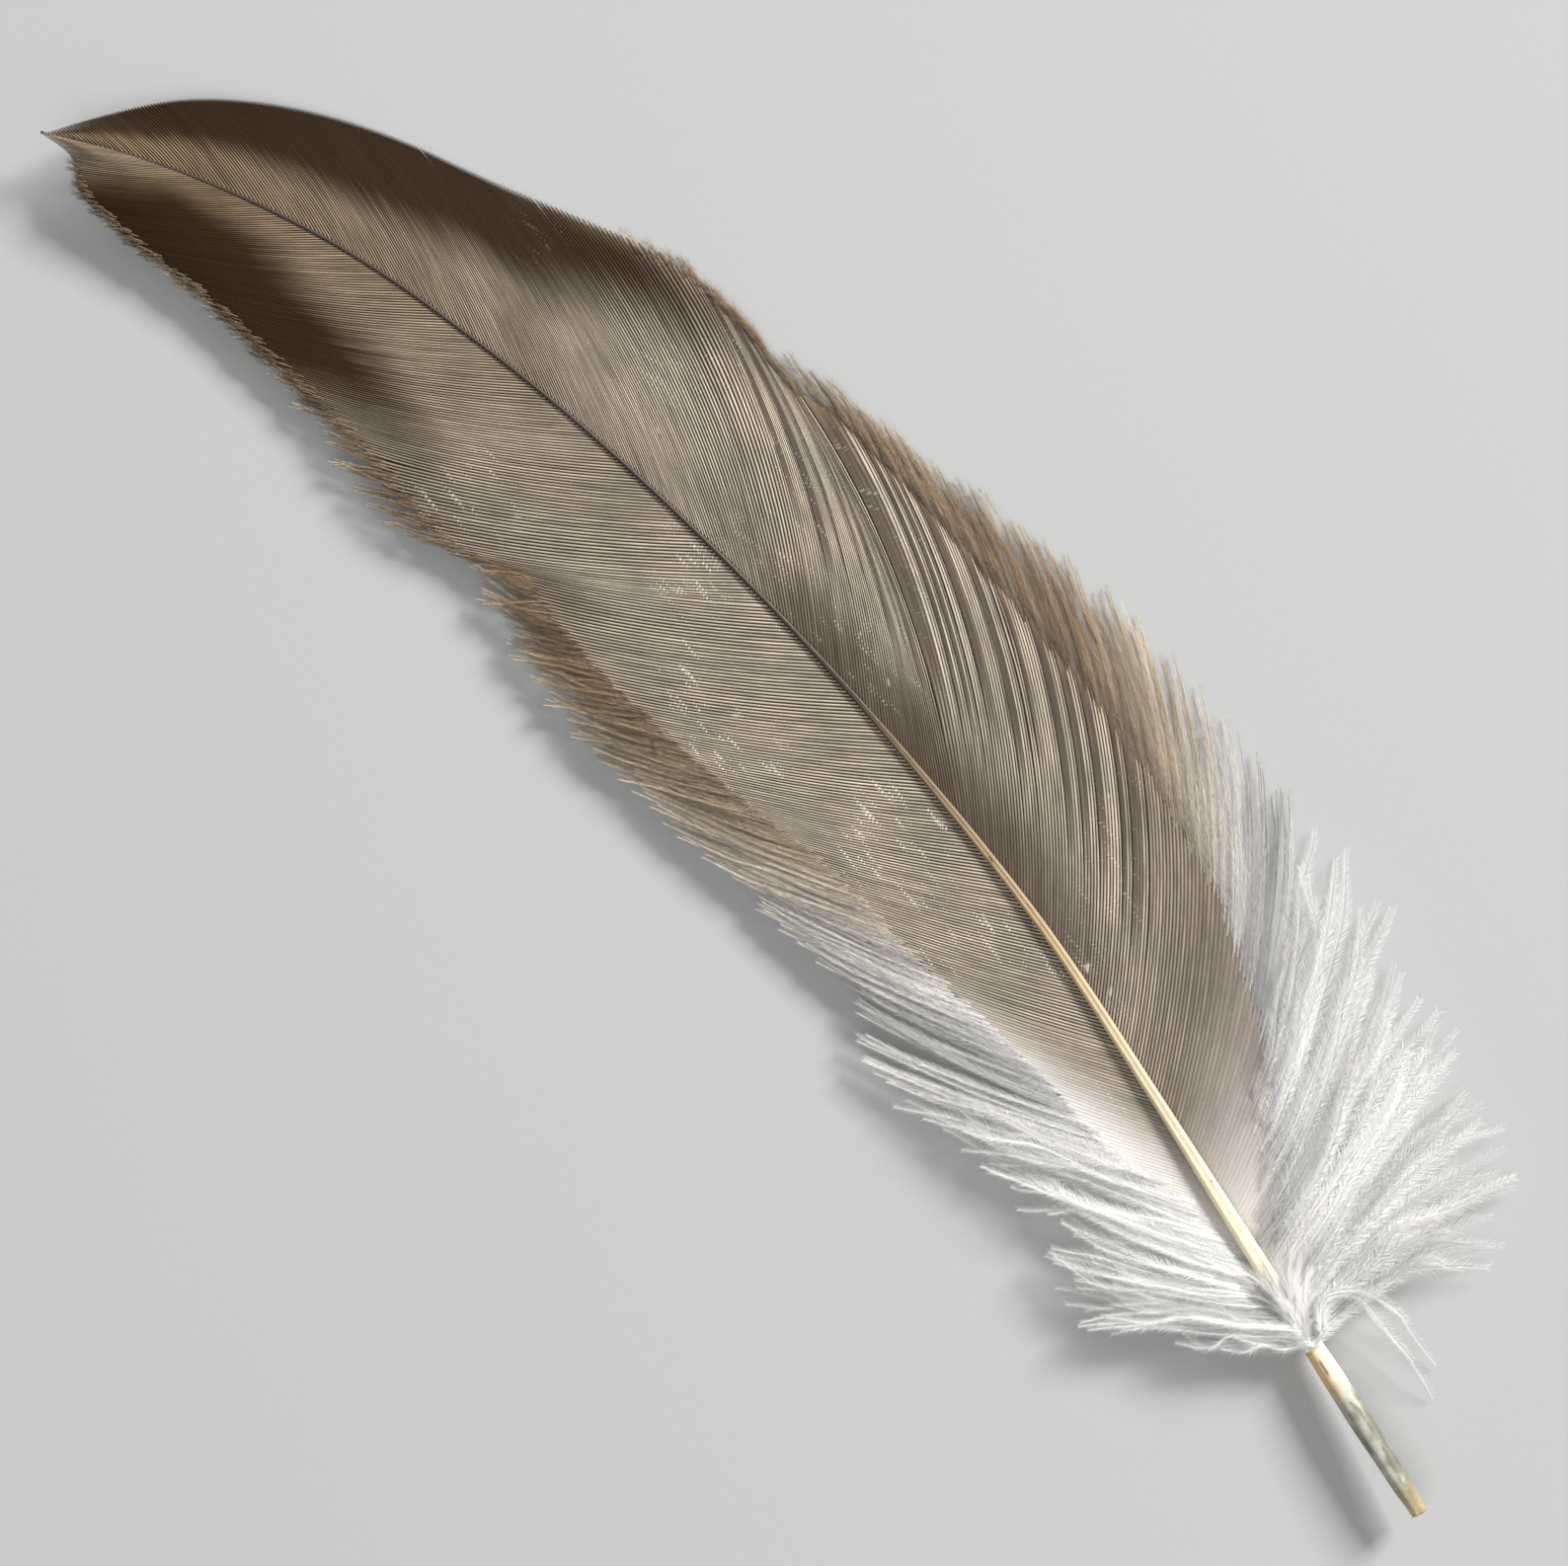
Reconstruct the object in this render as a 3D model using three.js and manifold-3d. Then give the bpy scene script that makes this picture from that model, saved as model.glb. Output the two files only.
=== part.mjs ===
// An uncut quill: a whole flight feather, lying on its back with its underside up.
// Millimetres. +X runs from the blunt end towards the tip, +Y towards the narrow vane, +Z up.
// The group's origin is under the middle of the feather, on the surface that it lies on.

import * as THREE from 'three';
import { mergeVertices } from 'three/addons/utils/BufferGeometryUtils.js';
import Module from 'manifold-3d';

// ---- Shaft -------------------------------------------------------------------------------

// Plan view of the shaft's middle line, from the blunt end (0, 0) to the tip.
const SHAFT_ROUTE = [
  [0, 0], [10, -2.2], [29.7, -6.5], [49.5, -11], [69.3, -15], [89.5, -17.3],
  [119.9, -18.5], [150.2, -16.6], [170.2, -12.8], [188.9, -5.3], [197.6, 0],
];

// Distance along the shaft, then its width and its height there.
const SHAFT_SIZES = [
  [0, 1.6, 1.6], [3, 2.1, 2.1], [12, 2.5, 2.5], [20, 2.1, 2.3], [30, 1.8, 2.2],
  [47, 1.3, 1.9], [110, 0.62, 1.2], [180, 0.4, 0.6], [203, 0.26, 0.3],
];

const CALAMUS_END = 19.7;
const RACHIS_START = 19.9;
const RACHIS_TAIL = 0.4;
const PITH_END = 104;
const HORN_WALL = 0.3;
const RACHIS_WALL = 0.18;
const PITH_GAP = 0.05;
const BASE_LIFT = 2.4;
const TIP_LIFT = 4.5;
const FLAT_FROM = 60;
const FLAT_TO = 140;

const UMBILICUS = { at: 17.6, length: 1.8, width: 0.3, depth: 0.8 };
const PULP_CAPS = { count: 5, first: 3.2, pitch: 2.9, depth: 1.1, wall: 0.14, gap: 0.1 };

// ---- Vanes -------------------------------------------------------------------------------

// Guide barbs: where each leaves the shaft, where its tip lies (x, y), how many degrees wider
// it leaves the shaft than the straight line to its tip, and the part of it that is hooked to
// its neighbours. Barbs in between blend from one guide to the next.
const NARROW_GUIDES = [
  [20, 26, 1.2, 16, 0], [22, 39, 10.5, -10, 0], [25, 43.5, 9, 4, 0], [29, 50.5, 4.5, 6, 0.05],
  [34, 62.5, 7.5, 0, 0.15], [40, 70.5, 7.5, 2, 0.25], [47, 78.5, 3.4, 6, 0.36],
  [59, 93, 3.6, 6, 0.47], [71, 105.8, 4, 7, 0.52], [83, 114.5, 4.5, 7, 0.62],
  [95, 122.5, 3.6, 7, 0.72], [106, 131.5, 1.6, 7, 0.8], [113, 136.5, -0.4, 7, 0.85],
  [116, 139.5, 1.2, 7, 0.86], [120, 146, 3.2, 7, 0.86], [131, 157.5, 0.9, 8, 0.93],
  [143, 167.5, 0.5, 8, 1], [155, 176, 0.7, 8, 1], [167, 184.5, 1.7, 8, 1],
  [179, 190, 1.8, 8, 1], [191, 194.4, -0.4, 6, 1], [201, 197.4, 0.1, 2, 1],
];
const BROAD_GUIDES = [
  [19.2, 6.6, -9.2, 14, 0], [20, 12.8, -22, -12, 0], [21, 15, -28, -6, 0], [23, 21.8, -32.5, 0, 0],
  [26, 30, -36, 0, 0], [30, 39, -37.5, 6, 0.05], [34, 49, -40.5, 10, 0.2],
  [40, 62, -42.5, 12, 0.38], [47, 78, -43.5, 14, 0.54], [59, 94.5, -42.5, 15, 0.66],
  [71, 109.5, -40.3, 15, 0.76], [83, 125.5, -38.4, 14, 0.88], [86, 131, -36.4, 14, 0.93],
  [95, 134.5, -37.2, 14, 1], [107, 142, -37, 13, 1], [113, 149.5, -34.3, 12, 1],
  [125, 162, -29.2, 10, 1], [143, 172.5, -25.2, 9, 1], [155, 179, -21.9, 9, 1],
  [167, 185.5, -17.4, 8, 1], [179, 190.7, -12.2, 8, 1], [191, 194.8, -5.6, 6, 1],
  [201, 197.4, -0.3, 2, 1],
];

// Vane pieces between the natural splits: first and last barb root of each.
const VANE_PIECES = {
  narrow: { lower: [38.9, 55.8], middle: [56.2, 113.4], upper: [115, 200] },
  broad: { lower: [38.9, 84.6], middle: [86, 106.6], upper: [107.2, 200] },
};
const FRINGED = { narrow: ['lower', 'middle', 'upper'], broad: ['lower'] };
const FRINGE_LAST_ROOT = 136;
const LEAST_FRINGE = 0.05;
const NARROW_DOWN = [[20.2, 24.2], [24.6, 30.6], [31, 38.5]];
const BROAD_DOWN = [[20, 22], [22.3, 26.2], [26.6, 31.6], [32, 38.5]];
const AFTERFEATHER = [19.2, 19.7];

const SHAFT_GAP = 0.3;
const BEND_REACH = 0.55;
const VANE_THICKNESS = 0.4;
const FRINGE_THICKNESS = 0.5;
const DOWN_THICKNESS = 1.6;
const FRINGE_GAP = 0.012;
const VANE_ROOT_HEIGHT = 0.45;
const NARROW_EDGE_HEIGHT = 1.5;
const BROAD_EDGE_HEIGHT = 0.05;
const EDGE_SHARE_OF_BOW = 0.8;
const VANE_CROWN = 0.8;
const ROOT_STEP = 8;

// ---- Finishes ----------------------------------------------------------------------------

const finish = (color, roughness) => new THREE.MeshStandardMaterial({ color, roughness, metalness: 0 });
const HORN = finish(0xc9bf9c, 0.35);
const DRY_PULP = finish(0xe4dcc6, 0.8);
const RACHIS_HORN = finish(0xd8c58f, 0.4);
const PITH = finish(0xf0ead8, 0.9);
const BROWN_BARBS = finish(0x7d6a52, 0.6);
const TAN_FRINGE = finish(0xa58a62, 0.75);
const WHITE_DOWN = finish(0xdedad2, 0.9);

// ---- Shared curves -----------------------------------------------------------------------

/** Linear blend of one column of a table whose first column rises. */
function tableAt(table, position, column) {
  let row = 0;
  while (row < table.length - 2 && position > table[row + 1][0]) row += 1;
  const [low, high] = [table[row], table[row + 1]];
  const share = THREE.MathUtils.clamp((position - low[0]) / (high[0] - low[0]), 0, 1);
  return THREE.MathUtils.lerp(low[column], high[column], share);
}

const shaftLine = new THREE.CatmullRomCurve3(SHAFT_ROUTE.map(([x, y]) => new THREE.Vector3(x, y, 0)));
shaftLine.arcLengthDivisions = 400;
const SHAFT_LENGTH = shaftLine.getLength();

const shaftWidth = (s) => tableAt(SHAFT_SIZES, s, 1);
const shaftHeight = (s) => tableAt(SHAFT_SIZES, s, 2);

/** How far the shaft's lower face stands above the surface: both ends curve up a little. */
function bow(s) {
  if (s < FLAT_FROM) return BASE_LIFT * ((FLAT_FROM - s) / FLAT_FROM) ** 2;
  if (s > FLAT_TO) return TIP_LIFT * ((s - FLAT_TO) / (SHAFT_LENGTH - FLAT_TO)) ** 2;
  return 0;
}

/** Middle of the shaft at a distance from its blunt end, with its directions along and across. */
function shaftFrame(s) {
  const share = THREE.MathUtils.clamp(s / SHAFT_LENGTH, 0, 1);
  const centre = shaftLine.getPointAt(share);
  const along = shaftLine.getTangentAt(share);
  const across = new THREE.Vector3(-along.y, along.x, 0);
  centre.z = bow(s) + shaftHeight(s) / 2;
  return { centre, along, across };
}

// ---- Solid builders ----------------------------------------------------------------------

/** Ring of points round the shaft's middle line, with one flat side facing straight down. */
function ringAt(s, halfWidth, halfHeight, sides) {
  const { centre, across } = shaftFrame(s);
  const toCorner = 1 / Math.cos(Math.PI / sides);
  return Array.from({ length: sides }, (_, corner) => {
    const angle = ((corner + 0.5) * 2 * Math.PI) / sides;
    const point = centre.clone().addScaledVector(across, halfWidth * toCorner * Math.cos(angle));
    point.z += halfHeight * toCorner * Math.sin(angle);
    return point;
  });
}

/** Closed geometry from a list of corner points and the triangles between them. */
function geometryOf(points, triangles) {
  const geometry = new THREE.BufferGeometry().setFromPoints(points);
  geometry.setIndex(triangles);
  geometry.computeVertexNormals();
  return geometry;
}

/** Skin over a row of rings. It closes on itself, or ends in a point at the middle of each end. */
function skinOver(rings, closesOnItself) {
  const sides = rings[0].length;
  const points = rings.flat();
  const triangles = [];
  const bands = closesOnItself ? rings.length : rings.length - 1;
  for (let band = 0; band < bands; band += 1) {
    const near = band * sides;
    const far = ((band + 1) % rings.length) * sides;
    for (let corner = 0; corner < sides; corner += 1) {
      const next = (corner + 1) % sides;
      triangles.push(near + corner, near + next, far + next, near + corner, far + next, far + corner);
    }
  }
  if (!closesOnItself) {
    const last = (rings.length - 1) * sides;
    points.push(middleOf(rings[0]), middleOf(rings[rings.length - 1]));
    for (let corner = 0; corner < sides; corner += 1) {
      const next = (corner + 1) % sides;
      triangles.push(rings.length * sides, next, corner);
      triangles.push(rings.length * sides + 1, last + corner, last + next);
    }
  }
  return geometryOf(points, triangles);
}

function middleOf(ring) {
  return ring.reduce((sum, point) => sum.add(point), new THREE.Vector3()).divideScalar(ring.length);
}

/** Evenly spaced values from low to high, both included. */
function spread(low, high, steps) {
  return Array.from({ length: steps + 1 }, (_, step) => low + ((high - low) * step) / steps);
}

/** Low and high, with the whole steps of the shaft that lie between them. */
function steppedBetween(low, high) {
  const steps = spread(0, 200, 200 / ROOT_STEP).filter((s) => s > low + 1 && s < high - 1);
  return [low, ...steps, high];
}

/** Thin closed sheet: lower and upper skins over a grid, joined round its four edges. */
function sheetOver(rowCount, columnCount, lowerAt, upperAt) {
  const points = [];
  for (const pointAt of [lowerAt, upperAt]) {
    for (let row = 0; row < rowCount; row += 1) {
      for (let column = 0; column < columnCount; column += 1) points.push(pointAt(row, column));
    }
  }
  const lower = (row, column) => row * columnCount + column;
  const upper = (row, column) => rowCount * columnCount + lower(row, column);
  const triangles = [];
  const quad = (a, b, c, d) => triangles.push(a, b, c, a, c, d);
  for (let row = 0; row < rowCount - 1; row += 1) {
    for (let column = 0; column < columnCount - 1; column += 1) {
      quad(lower(row, column), lower(row, column + 1), lower(row + 1, column + 1), lower(row + 1, column));
      quad(upper(row, column), upper(row + 1, column), upper(row + 1, column + 1), upper(row, column + 1));
    }
  }
  const [endRow, endColumn] = [rowCount - 1, columnCount - 1];
  for (let row = 0; row < endRow; row += 1) {
    quad(lower(row, 0), lower(row + 1, 0), upper(row + 1, 0), upper(row, 0));
    quad(lower(row + 1, endColumn), lower(row, endColumn), upper(row, endColumn), upper(row + 1, endColumn));
  }
  for (let column = 0; column < endColumn; column += 1) {
    quad(lower(0, column + 1), lower(0, column), upper(0, column), upper(0, column + 1));
    quad(lower(endRow, column), lower(endRow, column + 1), upper(endRow, column + 1), upper(endRow, column));
  }
  return { points, triangles };
}

// ---- Barbs and the sheets that they make ---------------------------------------------------

/** Point on one barb: side is 1 for the narrow vane and -1 for the broad one. */
function barbPoint(side, root, share) {
  const guides = side > 0 ? NARROW_GUIDES : BROAD_GUIDES;
  const { centre, across } = shaftFrame(root);
  const start = centre.clone().addScaledVector(across, side * (shaftWidth(root) / 2 + SHAFT_GAP));
  const tip = new THREE.Vector3(tableAt(guides, root, 1), tableAt(guides, root, 2), 0);
  start.z = 0;
  const bend = side * THREE.MathUtils.degToRad(tableAt(guides, root, 3));
  const chord = tip.clone().sub(start);
  const knee = chord.clone().applyAxisAngle(new THREE.Vector3(0, 0, 1), bend);
  knee.multiplyScalar(BEND_REACH).add(start);
  return new THREE.QuadraticBezierCurve3(start, knee, tip).getPoint(share);
}

/** Height of a vane's lower face: from the shaft over a low crown to its edge. */
function vaneHeight(side, root, share) {
  const atShaft = VANE_ROOT_HEIGHT + bow(root);
  const edge = side > 0 ? NARROW_EDGE_HEIGHT : BROAD_EDGE_HEIGHT;
  const atEdge = edge + bow(root) * EDGE_SHARE_OF_BOW;
  return THREE.MathUtils.lerp(atShaft, atEdge, share) + VANE_CROWN * Math.sin(Math.PI * share);
}

/** Sheet made by the barbs with roots between two places, from one share of their length to another. */
function barbSheet(side, [firstRoot, lastRoot], shareFrom, shareTo, thickness, columns) {
  const roots = steppedBetween(firstRoot, lastRoot);
  const pointAt = (row, column, rise) => {
    const root = roots[row];
    const share = THREE.MathUtils.lerp(shareFrom(root), shareTo(root), column / (columns - 1));
    const point = barbPoint(side, root, share);
    point.z = vaneHeight(side, root, share) + rise;
    return point;
  };
  const { points, triangles } = sheetOver(
    roots.length, columns,
    (row, column) => pointAt(row, column, 0),
    (row, column) => pointAt(row, column, thickness),
  );
  if (side < 0) triangles.reverse();
  return geometryOf(points, triangles);
}

// ---- Horn pieces ---------------------------------------------------------------------------

/** Calamus: the hollow, round butt of the quill, open at its blunt end. */
function calamusTube() {
  const stations = [0, 1.2, 3, 6, 9, 12, 15, 17.5, CALAMUS_END];
  const sides = 16;
  const outside = stations.map((s) => ringAt(s, shaftWidth(s) / 2, shaftHeight(s) / 2, sides));
  const inside = stations.map((s) => (
    ringAt(s, shaftWidth(s) / 2 - HORN_WALL, shaftHeight(s) / 2 - HORN_WALL, sides)
  ));
  return skinOver([...outside, ...inside.reverse()], true);
}

/** The library's solid of a closed geometry, on its places alone. */
function solidOf(library, geometry) {
  const bare = geometry.index ? geometry.toNonIndexed() : geometry.clone();
  bare.deleteAttribute('normal');
  bare.deleteAttribute('uv');
  const merged = mergeVertices(bare);
  return new library.Manifold(new library.Mesh({
    numProp: 3,
    vertProperties: merged.attributes.position.array,
    triVerts: Uint32Array.from(merged.index.array),
  }));
}

/** One geometry with another cut out of it. */
function cutOut(library, body, tool) {
  const mesh = solidOf(library, body).subtract(solidOf(library, tool)).getMesh();
  const geometry = new THREE.BufferGeometry();
  geometry.setAttribute('position', new THREE.BufferAttribute(mesh.vertProperties, mesh.numProp));
  geometry.setIndex(new THREE.BufferAttribute(mesh.triVerts, 1));
  geometry.computeVertexNormals();
  return geometry;
}

/** Slot through the upper wall where the calamus ends: the upper umbilicus. */
function umbilicusTool() {
  const { centre, along } = shaftFrame(UMBILICUS.at);
  const tool = new THREE.BoxGeometry(UMBILICUS.length, UMBILICUS.width, UMBILICUS.depth);
  tool.rotateZ(Math.atan2(along.y, along.x));
  tool.translate(centre.x, centre.y, centre.z + shaftHeight(UMBILICUS.at) / 2);
  return tool;
}

/** Rachis cortex: the shaft's horn skin, a blind tube round the pith and solid from there on. */
function rachisCortex() {
  const sides = 8;
  const inner = (s) => ringAt(s, shaftWidth(s) / 2 - RACHIS_WALL, shaftHeight(s) / 2 - RACHIS_WALL, sides);
  const outer = (s) => ringAt(s, shaftWidth(s) / 2, shaftHeight(s) / 2, sides);
  const boreStations = spread(RACHIS_START, PITH_END, 12);
  const outerStations = [
    ...spread(RACHIS_START, FLAT_FROM, 5),
    ...spread(FLAT_FROM, FLAT_TO, 10).slice(1),
    ...spread(FLAT_TO, SHAFT_LENGTH - RACHIS_TAIL, 9).slice(1),
  ];
  return skinOver([...boreStations.reverse().map(inner), ...outerStations.map(outer)], false);
}

/** Pith: the white foam that fills the rachis in its lower half. */
function rachisPith() {
  const shrink = RACHIS_WALL + PITH_GAP;
  const stations = spread(RACHIS_START + PITH_GAP, PITH_END - 1, 12);
  return skinOver(stations.map((s) => (
    ringAt(s, shaftWidth(s) / 2 - shrink, shaftHeight(s) / 2 - shrink, 8)
  )), false);
}

/** Pulp cap: one of the dry cups left inside the calamus, open towards the blunt end. */
function pulpCap(s) {
  const sides = 10;
  const radius = (at) => shaftWidth(at) / 2 - HORN_WALL - PULP_CAPS.gap;
  const dome = [[0, 1], [0.45, 0.98], [0.8, 0.7], [1, 0.25]];
  const cupRing = ([share, size], shrink) => {
    const at = s + PULP_CAPS.depth * share - shrink;
    const half = Math.max(radius(s) * size - shrink, 0.05);
    return ringAt(at, half, half, sides);
  };
  const outside = dome.map((row) => cupRing(row, 0));
  const inside = dome.map((row) => cupRing(row, row[0] === 0 ? 0 : PULP_CAPS.wall));
  inside[0] = ringAt(s, radius(s) - PULP_CAPS.wall, radius(s) - PULP_CAPS.wall, sides);
  return skinOver([...inside.reverse(), ...outside], false);
}

// ---- Assembly ------------------------------------------------------------------------------

const library = await Module();
library.setup();

const feather = new THREE.Group();

function add(name, geometry, material) {
  const mesh = new THREE.Mesh(geometry, material);
  mesh.name = name;
  feather.add(mesh);
}

add('calamus', cutOut(library, calamusTube(), umbilicusTool()), HORN);
for (let cap = 0; cap < PULP_CAPS.count; cap += 1) {
  add(`pulp_cap_${cap + 1}`, pulpCap(PULP_CAPS.first + cap * PULP_CAPS.pitch), DRY_PULP);
}
add('rachis_cortex', rachisCortex(), RACHIS_HORN);
add('rachis_pith', rachisPith(), PITH);

for (const [vane, side, guides] of [['narrow', 1, NARROW_GUIDES], ['broad', -1, BROAD_GUIDES]]) {
  const hooked = (root) => tableAt(guides, root, 4);
  for (const [place, roots] of Object.entries(VANE_PIECES[vane])) {
    const isFringed = (root) => FRINGED[vane].includes(place) && root <= FRINGE_LAST_ROOT;
    const vaneEnd = (root) => (isFringed(root) ? Math.min(hooked(root), 1 - LEAST_FRINGE) : hooked(root));
    add(`${vane}_vane_${place}`, barbSheet(side, roots, () => 0, vaneEnd, VANE_THICKNESS, 5), BROWN_BARBS);
    if (!FRINGED[vane].includes(place)) continue;
    const fringeRoots = roots.map((root) => Math.min(root, FRINGE_LAST_ROOT));
    const fringeStart = (root) => vaneEnd(root) + FRINGE_GAP;
    const fringe = barbSheet(side, fringeRoots, fringeStart, () => 1, FRINGE_THICKNESS, 3);
    add(`${vane}_fringe_${place}`, fringe, TAN_FRINGE);
  }
}

const downFrom = () => 0.02;
NARROW_DOWN.forEach((roots, tuft) => {
  add(`narrow_down_${tuft + 1}`, barbSheet(1, roots, downFrom, () => 1, DOWN_THICKNESS, 5), WHITE_DOWN);
});
BROAD_DOWN.forEach((roots, tuft) => {
  add(`broad_down_${tuft + 1}`, barbSheet(-1, roots, downFrom, () => 1, DOWN_THICKNESS, 5), WHITE_DOWN);
});
add('afterfeather', barbSheet(-1, AFTERFEATHER, downFrom, () => 1, DOWN_THICKNESS, 5), WHITE_DOWN);

// The origin goes under the middle of the feather, level with its lowest point.
const extent = new THREE.Box3().setFromObject(feather);
const middle = extent.getCenter(new THREE.Vector3());
feather.position.set(-middle.x, -middle.y, -extent.min.z);

export default feather;
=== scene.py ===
"""An uncut quill: a whole flight feather, lying on its back with its underside up.

Every barb of the two vanes is a swept strip of its own, the loose barb ends and the down are
strands with barbules on both sides, and the horn parts are lofted along the shaft's line.
"""

import logging
import math
from dataclasses import dataclass, field
from enum import Enum
from typing import Any, NamedTuple

import bpy
import numpy as np
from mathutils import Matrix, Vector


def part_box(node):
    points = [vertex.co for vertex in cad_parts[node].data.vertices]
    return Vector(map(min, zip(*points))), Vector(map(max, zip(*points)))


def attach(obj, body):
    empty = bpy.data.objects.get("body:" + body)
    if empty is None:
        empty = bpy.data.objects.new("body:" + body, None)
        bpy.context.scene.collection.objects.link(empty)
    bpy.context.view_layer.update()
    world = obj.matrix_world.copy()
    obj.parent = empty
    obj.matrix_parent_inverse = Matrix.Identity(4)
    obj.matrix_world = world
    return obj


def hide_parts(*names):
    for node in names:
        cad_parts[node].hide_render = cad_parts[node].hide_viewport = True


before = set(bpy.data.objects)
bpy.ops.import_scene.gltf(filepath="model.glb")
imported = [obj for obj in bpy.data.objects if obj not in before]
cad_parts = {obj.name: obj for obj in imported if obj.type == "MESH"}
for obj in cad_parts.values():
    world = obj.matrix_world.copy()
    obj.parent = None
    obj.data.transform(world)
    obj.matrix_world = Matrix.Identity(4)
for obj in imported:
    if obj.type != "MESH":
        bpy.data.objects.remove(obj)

MM = 0.001
Colour = tuple[float, float, float]
Array = np.ndarray
log = logging.getLogger("quill")


class Side(Enum):
    """Which vane a barb belongs to, by the sign of its side of the shaft."""

    NARROW = 1
    BROAD = -1


class Guide(NamedTuple):
    """A guide barb: the barbs in between blend from one guide to the next.

    root is in mm along the shaft, x and y are its tip in mm from the blunt end, bend is how
    many degrees wider it leaves the shaft than the straight line to its tip, and hooked is
    the part of it that is hooked to its neighbours.
    """

    root: float
    x: float
    y: float
    bend: float
    hooked: float


NARROW_GUIDES = [
    Guide(20, 26, 1.2, 16, 0), Guide(22, 39, 10.5, -10, 0), Guide(25, 43.5, 9, 4, 0),
    Guide(29, 50.5, 4.5, 6, 0.05), Guide(34, 62.5, 7.5, 0, 0.15), Guide(40, 70.5, 7.5, 2, 0.25),
    Guide(47, 78.5, 3.4, 6, 0.36), Guide(59, 93, 3.6, 6, 0.47), Guide(71, 105.8, 4, 7, 0.52),
    Guide(83, 114.5, 4.5, 7, 0.62), Guide(95, 122.5, 3.6, 7, 0.72), Guide(106, 131.5, 1.6, 7, 0.8),
    Guide(113, 136.5, -0.4, 7, 0.85), Guide(116, 139.5, 1.2, 7, 0.86), Guide(120, 146, 3.2, 7, 0.86),
    Guide(131, 157.5, 0.9, 8, 0.93), Guide(143, 167.5, 0.5, 8, 0.97), Guide(155, 176, 0.7, 8, 0.98),
    Guide(167, 184.5, 1.7, 8, 0.99), Guide(179, 190, 1.8, 8, 1), Guide(191, 194.4, -0.4, 6, 1),
    Guide(202, 197.4, 0.1, 2, 1),
]
BROAD_GUIDES = [
    Guide(19.2, 6.6, -9.2, 14, 0), Guide(20, 12.8, -22, -28, 0), Guide(21, 15, -28, -24, 0),
    Guide(23, 21.8, -32.5, -14, 0), Guide(26, 30, -36, -5, 0), Guide(30, 39, -37.5, 6, 0.05),
    Guide(34, 49, -40.5, 10, 0.2), Guide(40, 62, -42.5, 12, 0.38), Guide(47, 78, -43.5, 14, 0.54),
    Guide(59, 94.5, -42.5, 15, 0.66), Guide(71, 109.5, -40.3, 15, 0.76),
    Guide(83, 125.5, -38.4, 14, 0.88), Guide(86, 131, -36.4, 14, 0.93), Guide(95, 134.5, -37.2, 14, 0.95),
    Guide(107, 142, -37, 13, 0.98), Guide(113, 149.5, -34.3, 12, 1), Guide(125, 162, -29.2, 10, 1),
    Guide(143, 172.5, -25.2, 9, 1), Guide(155, 179, -21.9, 9, 1), Guide(167, 185.5, -17.4, 8, 1),
    Guide(179, 190.7, -12.2, 8, 1), Guide(191, 194.8, -5.6, 6, 1), Guide(202, 197.4, -0.3, 2, 1),
]


# ---- Numbers -------------------------------------------------------------------------------


def smooth(stations: Array, values: Array, at: Array) -> Array:
    """Blend values along rising stations with a smooth curve that doesn't overshoot.

    Args:
        stations: rising positions of the known values.
        values: the known values.
        at: positions to read.

    Returns:
        The blended values, with the shape of at.
    """
    stations, values = np.asarray(stations, float), np.asarray(values, float)
    steps = np.diff(stations)
    slopes = np.diff(values) / steps
    inner = np.where(slopes[1:] * slopes[:-1] > 0, 2 / (1 / np.where(slopes[1:] == 0, 1, slopes[1:])
                     + 1 / np.where(slopes[:-1] == 0, 1, slopes[:-1])), 0)
    tangents = np.concatenate([slopes[:1], inner, slopes[-1:]])
    cell = np.clip(np.searchsorted(stations, at) - 1, 0, len(steps) - 1)
    t = np.clip((at - stations[cell]) / steps[cell], 0, 1)
    rise = values[cell + 1] - values[cell]
    start, end = tangents[cell] * steps[cell], tangents[cell + 1] * steps[cell]
    return values[cell] + t * (start + t * (3 * rise - 2 * start - end + t * (start + end - 2 * rise)))


def ramp(value: Array, low: float, high: float) -> Array:
    """Soft step from 0 at low to 1 at high."""
    t = np.clip((np.asarray(value, float) - low) / (high - low), 0, 1)
    return t * t * (3 - 2 * t)


def wander(rng: np.random.Generator, rows: int, columns: int, knots: int) -> Array:
    """Smooth random curves, one a row, each starting at 0.

    Args:
        rng: the seeded source of random numbers.
        rows: how many curves.
        columns: how many points each has.
        knots: how many random turns each makes.

    Returns:
        An array of rows by columns, about -1 to 1.
    """
    turns = rng.uniform(-1, 1, (rows, knots + 1))
    turns[:, 0] = 0
    places = np.linspace(0, knots, columns)
    cell = np.minimum(places.astype(int), knots - 1)
    t = places - cell
    t = t * t * (3 - 2 * t)
    return turns[:, cell] * (1 - t) + turns[:, cell + 1] * t


# ---- The shaft's line ------------------------------------------------------------------------


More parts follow.
